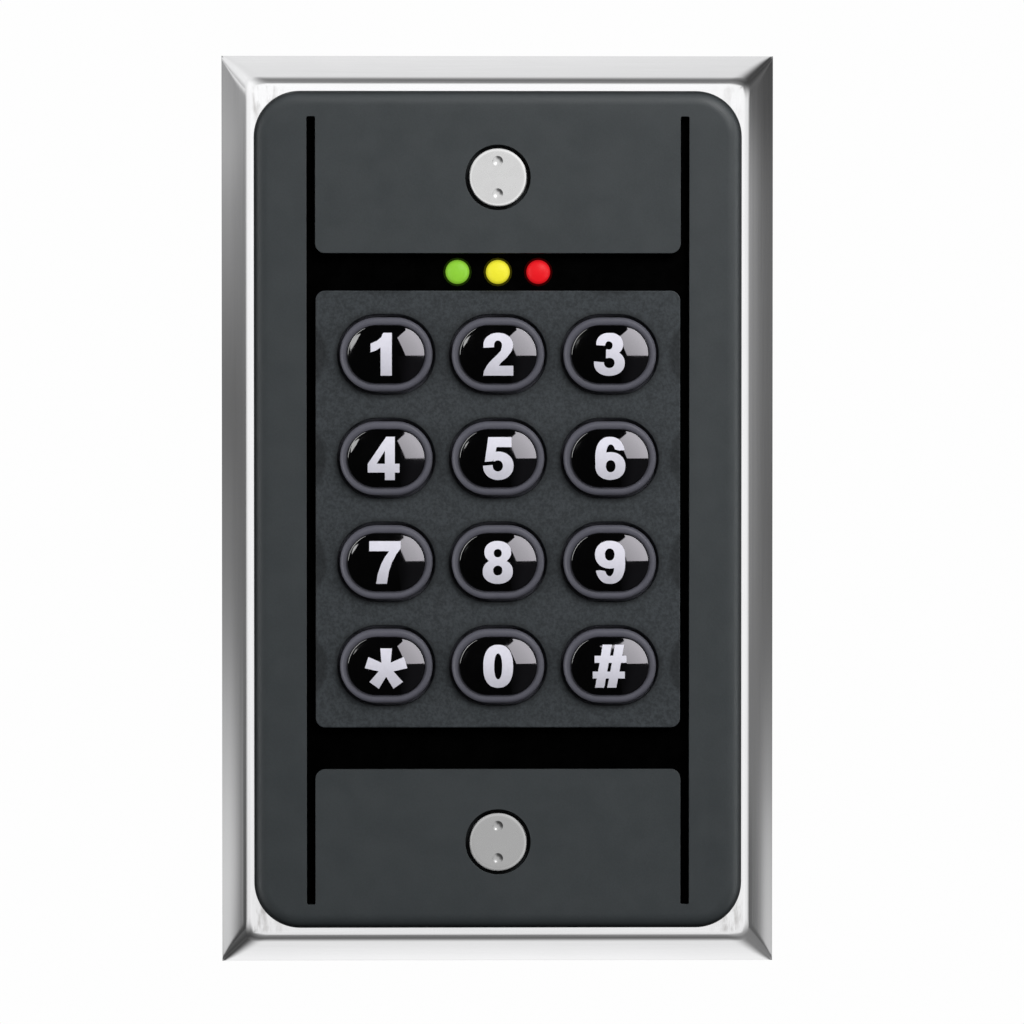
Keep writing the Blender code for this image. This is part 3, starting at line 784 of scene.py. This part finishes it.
def legend(label):
    """The figure's outline, cut out of a thin shell that follows the cap's dome."""
    shapes = [(what, [(x * 0.962, z * 0.962) for x, z in points]) for what, points in GLYPHS[label]]
    obj = make(f"key_{label}_legend", prisms([shapes[0][1]], -12.0, -9.0), 0)
    for i, (what, points) in enumerate(shapes[1:]):
        spread = 0.02 * (i + 1)
        if what == "cut":
            spread += 0.5
        boolean(obj, "UNION" if what == "add" else "DIFFERENCE", prisms([points], -12.0 - spread, -9.0 + spread))

    # kept: what lies between a hair above the dome and a plane inside the cap
    boolean(obj, "INTERSECT", lambda bm: add_loft(bm, cap_levels(-0.012, 32) + [(stadium(CAP_W - 0.4, CAP_H - 0.4, 32), -9.7)]))
    obj.data.shade_smooth()
    obj.data.set_sharp_from_angle(angle=radians(35))
    return obj


cap_mesh = make("cap_pattern", build_cap, 50)
button_mesh = make("button_pattern", build_button, 50)
for label, (x, z) in KEYS.items():
    for pattern, part, mat, slot in ((cap_mesh, "cap", cap_black, "gloss_black_cap"),
                                     (button_mesh, "button", ring_grey, "violet_grey_silicone")):
        obj = bpy.data.objects.new(f"key_{label}_{part}_moulding", pattern.data.copy())
        scene.collection.objects.link(obj)
        for v in obj.data.vertices:
            v.co.x += x * MM
            v.co.z += z * MM
        dress(obj, mat, f"key_{label}", [f"key_{label}_{part}"])
    figure = legend(label)
    for v in figure.data.vertices:
        v.co.x += x * MM
        v.co.z += z * MM
    dress(figure, ink, f"key_{label}", ())
for pattern in (cap_mesh, button_mesh):
    bpy.data.objects.remove(pattern)

# -------------------------------------------------------------- indicators
LEDS = {"led_green": (145, 210, 60), "led_yellow": (246, 238, 56), "led_red": (238, 28, 36)}
for name, rgb in LEDS.items():
    lo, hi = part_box(name)
    cx, cz, tip = (lo.x + hi.x) / 2 / MM, (lo.z + hi.z) / 2 / MM, lo.y / MM
    profile = [(0, hi.y / MM), (1.9, hi.y / MM), (1.9, hi.y / MM - 1.0), (1.5, hi.y / MM - 1.0), (1.5, tip + 0.9)]
    profile += [(1.5 * cos(radians(a)), tip + 0.9 - 0.88 * sin(radians(a))) for a in range(10, 90, 8)]
    profile.append((0, tip + 0.02))
    lens = make(f"{name}_lens", lambda bm: add_lathe(bm, profile, 48, cx, cz), 40)
    colour = srgb(*rgb)
    g = Graph(f"{name}_epoxy", shade(colour, 0.22), 0.45, 0.0, 0.15)
    ax = g.axes()
    dx, dz = g.math("SUBTRACT", ax[0], cx * MM), g.math("SUBTRACT", ax[2], cz * MM)
    radius = g.math("SQRT", g.math("ADD", g.math("MULTIPLY", dx, dx), g.math("MULTIPLY", dz, dz)))
    speck = g.noise(2600.0, 2.0)
    glow = g.math("MULTIPLY", g.ramp(radius, 0.0011, 0.00150, 1.0, 0.70), g.ramp(speck, 0.3, 0.7, 0.95, 1.0))
    glow = g.math("MULTIPLY", glow, g.ramp(ax[1], -0.0066, -0.0062, 1.0, 0.06))
    g.link(g.mix(glow, (0, 0, 0), shade(colour, 0.9)), g.shader.inputs["Emission Color"])
    g.shader.inputs["Emission Strength"].default_value = 0.84
    g.bump(speck, 0.004)
    dress(lens, g.mat, "reader", [name])

# ------------------------------------------------------------- box screws


def build_box_screw(bm, cz):
    """Spanner head, plain neck and a rolled 6-32 thread."""
    head = [(0, -8.54), (1.15, -8.54), (2.95, -8.54), (3.35, -8.54), (3.52, -8.51), (3.62, -8.42), (3.65, -8.3), (3.65, -7.4),
            (3.58, -7.32), (1.45, -7.32)]
    pitch, start, end, turn = 0.794, -4.9, 17.3, 30
    add_lathe(bm, head + [(1.45, start - 0.2), (1.45, end), (1.1, 18.05), (0, 18.05)], 72, 0, cz)
    # helical ridge, one closed body sunk into the core
    count = int((end - start) / pitch * turn)
    sections = []
    for i in range(count + 1):
        a = 2 * pi * i / turn
        y = start + pitch * i / turn
        fade = min(1.0, i / 20, (count - i) / 20)
        crest = 1.35 + 0.38 * fade
        half = 0.05 + 0.29 * fade
        ring = []
        for r, dy in ((1.35, -half), (crest, -0.06), (crest, 0.06), (1.35, half)):
            ring.append(bm.verts.new((r * cos(a) * MM, (y + dy) * MM, (cz + r * sin(a)) * MM)))
        sections.append(ring)
    for a, b in zip(sections, sections[1:]):
        for i in range(4):
            j = (i + 1) % 4
            bm.faces.new((a[i], a[j], b[j], b[i]))
    bm.faces.new(sections[0])
    bm.faces.new(list(reversed(sections[-1])))


def dimple(bm, cx, cz):
    """Cutter for a spanner hole: short straight wall and a shallow round floor."""
    r, top, ball, lip = 0.66, -8.55, 1.0, 0.04
    widest = asin(r / ball)
    profile = [(0, top - 1), (r, top - 1), (r, top + lip)]
    for i in range(1, 9):
        a = widest * (1 - i / 8)
        profile.append((ball * sin(a), top + lip + ball * (cos(a) - cos(widest))))
    add_lathe(bm, profile, 32, cx, cz)


# painted light: the same plating is painted lighter on the top screw (218) and darker on the bottom one (176), for the
# light each gets
for name, side, tint in (("security_screw_top", 1, 218), ("security_screw_bottom", -1, 176)):
    cz = side * 41.67
    screw = make(f"{name}_turned", lambda bm: build_box_screw(bm, cz), 0)
    boolean(screw, "DIFFERENCE", lambda bm: [dimple(bm, -0.03, cz + s * 2.03) for s in (1, -1)])
    screw.data.shade_smooth()
    screw.data.set_sharp_from_angle(angle=radians(26))
    dress(screw, plated(f"{name}_plating_painted_light", srgb(tint, tint, tint), 0.27, True, (0.0, cz)), "reader", [name])

# ----------------------------------------------------- case screws, behind
for sx, sz, spot in ((1, 1, "top_right"), (-1, 1, "top_left"), (1, -1, "bottom_right"), (-1, -1, "bottom_left")):
    cx, cz = sx * 26.4, sz * 33.0

    def pan(bm):
        add_lathe(bm, [(0, -0.52), (0.7, -0.54), (1.2, -0.68), (1.52, -0.95), (1.68, -1.35), (1.68, -1.78),
                       (0.8, -1.78), (0.8, -7.15), (0, -7.15)], 40, cx, cz)
    screw = make(f"case_screw_{spot}_pan", pan, 0)
    boolean(screw, "DIFFERENCE", prisms([block(cx - 0.95, cz - 0.2, cx + 0.95, cz + 0.2)], -1.15, 0.5))
    boolean(screw, "DIFFERENCE", prisms([block(cx - 0.2, cz - 0.95, cx + 0.2, cz + 0.95)], -1.16, 0.6))
    screw.data.shade_smooth()
    screw.data.set_sharp_from_angle(angle=radians(40))
    dress(screw, zinc, "reader", [f"case_screw_{spot}"])

# ------------------------------------------------------------ rear housing
HX, HZ, HR = 23.1, 35.2, 3.0
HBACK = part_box("rear_housing")[1].y / MM


def build_housing(bm):
    inner = rect(HX - 1.6, HZ - 1.6, HR - 1.6, 12)
    levels = [(inner, HBACK - 1.8), (inner, -4.1), (rect(28.6, 38.0, 2.0, 12), -4.1),
              (rect(28.6, 38.0, 2.0, 12), -2.35), (rect(28.35, 37.75, 1.75, 12), -2.1),
              (rect(HX + 0.5, HZ + 0.5, HR + 0.5, 12), -2.1), (rect(HX + 0.15, HZ + 0.15, HR + 0.15, 12), -1.95),
              (rect(HX, HZ, HR, 12), -1.6), (rect(HX, HZ, HR, 12), HBACK - 1.2)]
    for step in range(1, 7):
        a = radians(15 * step)
        inset = 1.2 * (1 - cos(a))
        levels.append((rect(HX - inset, HZ - inset, HR - inset, 12), HBACK - 1.2 + 1.2 * sin(a)))
    add_loft(bm, levels)


tub = make("rear_housing_moulding", build_housing, 0)
sockets = {}
for name in ("harness_socket", "relay_socket"):
    lo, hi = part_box(name)
    sockets[name] = ((lo.z + hi.z) / 2 / MM, hi.x / MM, hi.y / MM)
boolean(tub, "DIFFERENCE", prisms([rect(hx + 0.5, 4.4, 0.4, 4, 0, cz) for cz, hx, _ in sockets.values()], 30.0, 36.0))
# a shallow sunk panel round the sockets, and ejector marks
boolean(tub, "DIFFERENCE", prisms([rect(19.0, 27.0, 2.0, 8)], HBACK - 0.3, HBACK + 1))
boolean(tub, "DIFFERENCE", prisms([circle(2.4, 40, sx * 14.5, sz * 22.6) for sx in (1, -1) for sz in (1, -1)],
                                  HBACK - 0.42, HBACK + 1))
boolean(tub, "DIFFERENCE", prisms(
    [circle(1.3, 24, sx * 26.4, sz * 33.0) for sx in (1, -1) for sz in (1, -1)], -6.0, -1.0))
tub.data.shade_smooth()
soften(tub, 0.12, 2, 50)
dress(tub, housing_black, "reader", ["rear_housing"])

# --------------------------------------------------------- harness sockets
pin_metal = plated("tinned_pin", (0.80, 0.78, 0.70), 0.22, False)
for name, (cz, hx, end) in sockets.items():
    pins = 9 if name == "harness_socket" else 5
    shroud = make(f"{name}_shroud", prisms([rect(hx, 3.9, 0.5, 6, 0, cz)], 19.95, end), 0)
    boolean(shroud, "DIFFERENCE", prisms([rect(hx - 1.2, 2.7, 0.3, 4, 0, cz)], 24.8, end + 2))
    boolean(shroud, "DIFFERENCE", prisms([block(-2.0, cz + 2.5, 2.0, cz + 4.5)], 26.8, end + 2))
    boolean(shroud, "DIFFERENCE", prisms(
        [block(s * (hx - 3.2) - 0.5, cz - 4.5, s * (hx - 3.2) + 0.5, cz - 2.5) for s in (1, -1)], 29.0, end + 2))
    shroud.data.shade_smooth()
    soften(shroud, 0.12, 2, 50)
    dress(shroud, nylon, "reader", [name])

    def build_pins(bm):
        for i in range(pins):
            px = (i - (pins - 1) / 2) * 2.54
            add_loft(bm, [(rect(0.32, 0.32, 0, 1, px, cz), 24.0), (rect(0.32, 0.32, 0, 1, px, cz), 28.9),
                          (rect(0.17, 0.17, 0, 1, px, cz), 29.35)])
    dress(make(f"{name}_pins", build_pins, 30), pin_metal, "reader", ())

# ----------------------------------------------------------------- gasket
def build_gasket(bm):
    add_loft(bm, [(rect(30.6, 53.0, 0.8, 4), -4.1), (rect(30.6, 53.0, 0.8, 4), -0.25), (rect(30.4, 52.8, 0.6, 4), 0.0),
                  (rect(29.15, 50.55, 0.6, 4), 0.0), (rect(28.9, 50.3, 0.4, 4), -0.25),
                  (rect(28.9, 50.3, 0.4, 4), -4.1)], closed=True)


dress(make("wall_gasket_foam", build_gasket, 50), foam, "reader", ["wall_gasket"])

# ------------------------------------------------- CAD pieces kept as made
repaint(gloss_black, "inner_frame")
repaint(rubber_grey, "keypad_mat")
repaint(board, "main_board", "rear_board")
repaint(copper, "antenna_coil")
repaint(epoxy_black, "controller_chip", "buzzer", "board_header")
repaint(relay_blue, "lock_relay")
repaint(switch_dark, "tamper_switch")
repaint(plunger_red, "tamper_plunger")
for spot in ("top_right", "top_left", "bottom_right", "bottom_left"):
    repaint(zinc, f"board_screw_{spot}")
    repaint(brass, f"standoff_{spot}")

# ----------------------------------------------------------- stage, lights
world = bpy.data.worlds.new("studio")
world.use_nodes = True
world.node_tree.nodes["Background"].inputs["Color"].default_value = (0.99, 0.99, 0.99, 1)
world.node_tree.nodes["Background"].inputs["Strength"].default_value = 1.0
world.cycles_visibility.glossy = False
world.cycles_visibility.diffuse = False
scene.world = world

floor_mesh = bpy.data.meshes.new("floor")
fb = bmesh.new()
bmesh.ops.create_circle(fb, cap_ends=True, segments=64, radius=3.0)
fb.to_mesh(floor_mesh)
fb.free()
floor = bpy.data.objects.new("floor", floor_mesh)
floor.location = (0, 0, -0.0595)
scene.collection.objects.link(floor)
fm = bpy.data.materials.new("pale_floor")
fm.use_nodes = True
fs = fm.node_tree.nodes["Principled BSDF"]
fs.inputs["Base Color"].default_value = (0, 0, 0, 1)
fs.inputs["Specular IOR Level"].default_value = 0.0
fs.inputs["Roughness"].default_value = 1.0
fs.inputs["Emission Color"].default_value = (0.99, 0.99, 0.99, 1)
fs.inputs["Emission Strength"].default_value = 1.0
floor_mesh.materials.append(fm)
floor.visible_glossy = False
floor.visible_shadow = False
floor.visible_diffuse = False

sets = {}
for group in ("steel", "caps", "screws", "rest", "soft", "rings", "cover"):
    sets[group] = bpy.data.collections.new(f"{group}_receivers")
for obj in scene.objects:
    if obj.type == "MESH" and obj is not floor:
        mats = [m.material for m in obj.material_slots if m.material]
        if mats and mats[0] is steel:
            sets["steel"].objects.link(obj)
        elif mats and mats[0] is cap_black:
            sets["caps"].objects.link(obj)
            sets["soft"].objects.link(obj)
        elif obj.name.startswith("security_screw"):
            sets["screws"].objects.link(obj)
        else:
            sets["rest"].objects.link(obj)
            sets["soft"].objects.link(obj)
            if mats and mats[0] is ring_grey:
                sets["rings"].objects.link(obj)
            if mats and mats[0] is charcoal:
                sets["cover"].objects.link(obj)


def emitter(name, mesh, receivers, level, glossy_only=True, tint=(1, 1, 1), solid=False):
    """A studio surface that gives light to its own receivers; unless it is
    solid, every ray goes on through it. level(g) gives its brightness."""
    obj = bpy.data.objects.new(name, mesh)
    scene.collection.objects.link(obj)
    g = Graph(name, (0, 0, 0), 1.0)
    em = g.tree.nodes.new("ShaderNodeEmission")
    em.inputs["Color"].default_value = (*tint, 1)
    g.put(level(g), em.inputs["Strength"])
    g.tree.nodes.remove(g.shader)
    out = next(n for n in g.tree.nodes if n.type == "OUTPUT_MATERIAL")
    if solid:
        g.link(em.outputs[0], out.inputs[0])
    else:
        clear = g.tree.nodes.new("ShaderNodeBsdfTransparent")
        both = g.tree.nodes.new("ShaderNodeAddShader")
        g.link(em.outputs[0], both.inputs[0])
        g.link(clear.outputs[0], both.inputs[1])
        g.link(both.outputs[0], out.inputs[0])
    mesh.materials.append(g.mat)
    obj.visible_camera = False
    obj.visible_shadow = False
    obj.visible_transmission = False
    if glossy_only:
        obj.visible_diffuse = False
    obj.light_linking.receiver_collection = sets[receivers]
    return obj


def dome_mesh(name, radius=1.6):
    mesh = bpy.data.meshes.new(name)
    b = bmesh.new()
    bmesh.ops.create_uvsphere(b, u_segments=48, v_segments=24, radius=radius)
    b.to_mesh(mesh)
    b.free()
    return mesh


def sheet_mesh(name, corners):
    mesh = bpy.data.meshes.new(name)
    mesh.from_pydata([tuple(c) for c in corners], [], [tuple(range(len(corners)))])
    return mesh


def stops(g, value, points):
    """Brightness along a value in 0..1, through the given (position, level) stops."""
    n = g.tree.nodes.new("ShaderNodeValToRGB")
    n.color_ramp.interpolation = "B_SPLINE" if len(points) > 9 else "LINEAR"
    el = n.color_ramp.elements
    while len(el) > 1:
        el.remove(el[-1])
    el[0].position = points[0][0]
    el[0].color = (points[0][1],) * 3 + (1,)
    for position, level in points[1:]:
        e = el.new(position)
        e.color = (level,) * 3 + (1,)
    g.put(value, n.inputs["Fac"])
    return n.outputs["Color"]


def lin(v):
    """Radiance that polished steel returns as the given display level."""
    return srgb(v, v, v)[0] / 0.80


def polar(g):
    """Direction from the middle, as (angle off the front axis / 180,
    turn about it / 360 from the right through the top)."""
    norm = g.tree.nodes.new("ShaderNodeVectorMath")
    norm.operation = "NORMALIZE"
    g.link(g.coords, norm.inputs[0])
    sep = g.tree.nodes.new("ShaderNodeSeparateXYZ")
    g.link(norm.outputs[0], sep.inputs[0])
    off = g.math("DIVIDE", g.math("ARCCOSINE", g.math("MULTIPLY", sep.outputs[1], -1.0)), pi)
    turn = g.math("FRACT", g.math("ADD", g.math("DIVIDE", g.math("ARCTAN2", sep.outputs[2], sep.outputs[0]), 2 * pi), 1.0))
    return off, turn


def sectors(g, off, turn, table):
    """Blend of profiles over the angle off axis, one for each eighth of a turn."""
    total = None
    count = len(table)
    for i, profile in enumerate(table):
        # distance in turns from this sector's middle, wrapped
        d = g.math("ABSOLUTE", g.math("SUBTRACT", g.math("FRACT", g.math("ADD", turn, 0.5 - i / count + 1.0)), 0.5))
        w = g.ramp(d, 0.0, 1.0 / count, 1.0, 0.0)
        part = g.math("MULTIPLY", w, stops(g, off, [(a / 180, v) for a, v in profile]))
        total = part if total is None else g.math("ADD", total, part)
    return total


# What the polished plate sees: white ahead in a wide, low band; white above and
# below behind it; darker to the sides; dark between the front and the top.
RIGHT = [(0, lin(244)), (50, lin(238)), (62, lin(190)), (76, lin(122)), (100, lin(112)), (150, lin(100))]
UP_RIGHT = [(0, lin(250)), (24, lin(248)), (36, lin(120)), (60, lin(70)), (100, lin(60)), (150, lin(60))]
UP = [(0, lin(253)), (20, lin(253)), (30, lin(132)), (62, lin(104)), (80, lin(160)), (96, lin(216)), (125, lin(226)), (150, lin(228))]
UP_LEFT = [(0, lin(253)), (60, lin(252)), (80, lin(240)), (110, lin(226)), (150, lin(220))]
LEFT = [(0, lin(244)), (50, lin(240)), (62, lin(200)), (80, lin(112)), (100, lin(105)), (150, lin(110))]
LOW_LEFT = [(0, lin(236)), (24, lin(228)), (40, lin(110)), (60, lin(66)), (100, lin(62)), (150, lin(70))]
DOWN = [(0, lin(224)), (22, lin(224)), (33, lin(122)), (64, lin(92)), (80, lin(150)), (98, lin(212)), (112, lin(224)), (130, lin(246))]
LOW_RIGHT = [(0, lin(240)), (30, lin(236)), (44, lin(160)), (70, lin(118)), (110, lin(118)), (150, lin(130))]


def steel_level(g):
    off, turn = polar(g)
    return sectors(g, off, turn, [RIGHT, UP_RIGHT, UP, UP_LEFT, LEFT, LOW_LEFT, DOWN, LOW_RIGHT])


emitter("steel_dome", dome_mesh("steel_dome"), "steel", steel_level)


def side_wall(name, side, rows, lead):
    """A curved wall close beside the plate, seen in that side's bevel. Its
    brightness changes with height, and with the angle off the front axis:
    each row is (height in mm, level ahead, level level with the bevel's glance,
    level far behind). All three come lead degrees nearer the front."""
    radius, axis_x = 0.06, side * 0.0330
    mesh = bpy.data.meshes.new(name)
    b = bmesh.new()
    previous = None
    for i in range(25):
        off = radians(66 + 3.5 * i)
        x, y = axis_x + side * radius * sin(off), -0.003 - radius * cos(off)
        pair = [b.verts.new((x, y, z)) for z in (-0.075, 0.075)]
        if previous:
            b.faces.new((previous[0], pair[0], pair[1], previous[1]))
        previous = pair
    b.to_mesh(mesh)
    b.free()

    def level(g):
        ax = g.axes()
        up = g.ramp(ax[2], -0.075, 0.075, smooth=False)
        ahead, glance, behind = (stops(g, up, [(min(1.0, max(0.0, (1.08 * z + 75) / 150)), lin(r[k])) for z, r in ((row[0], row) for row in rows)])
                                 for k in (1, 2, 3))
        back = g.math("DIVIDE", g.math("SUBTRACT", ax[1], -0.003), radius)     # -cos of the angle off axis
        first = g.ramp(back, -cos(radians(110 - lead)), -cos(radians(117 - lead)), smooth=False)
        near = g.mix(first, ahead, glance)
        return g.mix(g.ramp(back, -cos(radians(117 - lead)), -cos(radians(122 - lead)), smooth=False), near, behind)
    return emitter(name, mesh, "steel", level, solid=True)


LEFT_WALL = [(-75, 60, 66, 110), (-62, 62, 78, 185), (-57.5, 74, 150, 200), (-50, 84, 180, 200), (-44, 88, 178, 197),
             (-37, 92, 168, 189), (-24, 106, 132, 156), (-12, 102, 108, 122), (1, 100, 102, 112), (14, 98, 88, 92),
             (27, 116, 118, 122), (39, 128, 134, 146), (46, 140, 160, 166), (51, 146, 146, 156), (57, 160, 130, 148),
             (62, 215, 150, 165), (75, 235, 220, 215)]
RIGHT_WALL = [(-75, 84, 96, 160), (-62, 86, 112, 190), (-57.5, 92, 124, 194), (-50, 94, 124, 184), (-44, 98, 122, 174),
              (-37, 112, 118, 150), (-24, 112, 104, 108), (-12, 122, 102, 97), (1, 128, 102, 94), (14, 132, 104, 97),
              (27, 138, 104, 99), (39, 146, 102, 96), (46, 130, 90, 83), (51, 96, 75, 70), (57, 86, 76, 72),
              (62, 90, 62, 48), (75, 90, 50, 40)]
side_wall("left_wall", -1, LEFT_WALL, 2.2)
side_wall("right_wall", 1, RIGHT_WALL, 0.9)


def screw_level(g):
    off, turn = polar(g)
    front = [(0, 0.93), (15, 0.93)]
    middle = front + [(40, 0.95), (84, 0.9), (150, 0.8)]
    bright = front + [(34, 1.3), (74, 1.5), (90, 1.0), (150, 0.85)]
    dark = front + [(28, 0.42), (46, 0.08), (76, 0.08), (88, 0.85), (150, 0.85)]
    return sectors(g, off, turn, [middle, bright, middle, middle, dark, dark, dark, middle])


emitter("screw_dome", dome_mesh("screw_dome", 1.5), "screws", screw_level)


def rest_level(g):
    """Soft light for the plastics: brighter from above, little from below."""
    norm = g.tree.nodes.new("ShaderNodeVectorMath")
    norm.operation = "NORMALIZE"
    g.link(g.coords, norm.inputs[0])
    sep = g.tree.nodes.new("ShaderNodeSeparateXYZ")
    g.link(norm.outputs[0], sep.inputs[0])
    return g.math("MULTIPLY", g.ramp(sep.outputs[2], -0.5, 0.75, 0.05, 1.0), 0.80)


rest_dome = emitter("rest_dome", dome_mesh("rest_dome", 1.4), "soft", rest_level, False)
rest_dome.visible_glossy = False

L = 0.6


def toward(u, v):
    """Point on a far card that a cap's mirror image shows in direction (u, v)."""
    return (u * L, -L, v * L)


emitter("key_softbox", sheet_mesh("key_softbox", [
    toward(0.306, 0.004), toward(3.0, 0.004), toward(3.0, 3.2), toward(2.2, 3.2), toward(0.023, 0.66)]),
    "caps", lambda g: g.ramp(g.math("ADD", g.axes()[2], g.axes()[0]), 0.15, 1.1, 7.2, 11.0, smooth=False),
    tint=(1.0, 0.965, 1.04))
emitter("key_floor", sheet_mesh("key_floor", [
    toward(0.02, -0.01), toward(0.35, -2.5), toward(3.0, -2.5), toward(3.0, -0.01)]),
    "caps", lambda g: g.ramp(g.axes()[0], 0.0, 0.4, 0.02, 0.11), tint=(0.95, 0.92, 1.1))
emitter("key_dome", dome_mesh("key_dome", 1.7), "caps", lambda g: 0.02)
emitter("cap_strip", sheet_mesh("cap_strip", [
    (-0.745, -L, 0.03), (-0.735, -L, 0.06), (-0.521, -L, 0.338), (-0.388, -L, 0.662), (-0.36, -L, 0.78),
    (-0.6, -L, 1.3), (-1.6, -L, 1.3), (-1.6, -L, 0.03)]), "caps", lambda g: 9.0)


def area(name, at, target, size, power, receivers=None, spread=180):
    data = bpy.data.lights.new(name, "AREA")
    data.shape = "RECTANGLE"
    data.size, data.size_y = size
    data.energy = power
    data.spread = radians(spread)
    obj = bpy.data.objects.new(name, data)
    obj.location = at
    obj.rotation_euler = (Vector(target) - Vector(at)).to_track_quat("-Z", "Y").to_euler()
    scene.collection.objects.link(obj)
    obj.visible_camera = False
    if receivers is not None:
        obj.light_linking.receiver_collection = sets[receivers]
    return obj


area("key_light", (0.22, -0.36, 0.30), (0, 0, 0.02), (0.26, 0.26), 2.0, "rest")
area("right_strip", (0.42, -0.17, 0.0), (0, 0, 0), (0.08, 0.5), 1.0, "rest")
area("left_strip", (-0.42, -0.17, 0.0), (0, 0, 0), (0.08, 0.5), 0.85, "rest")
area("ring_fill", (-0.42, -0.42, -0.14), (0, 0, 0), (0.3, 0.3), 2.2, "rings")
area("screw_glint", (0.34, -0.45, 0.42), (0, 0, 0), (0.12, 0.12), 0.5, "screws")
area("top_strip", (-0.02, -0.34, 0.42), (0, 0, 0.04), (0.5, 0.10), 0.42, "cover")
area("back_light", (-0.35, 0.75, 0.55), (0, 0, 0), (0.5, 0.5), 5.0, "rest")
area("back_fill", (0.55, 0.70, -0.10), (0, 0.02, 0), (0.4, 0.6), 2.5, "rest")
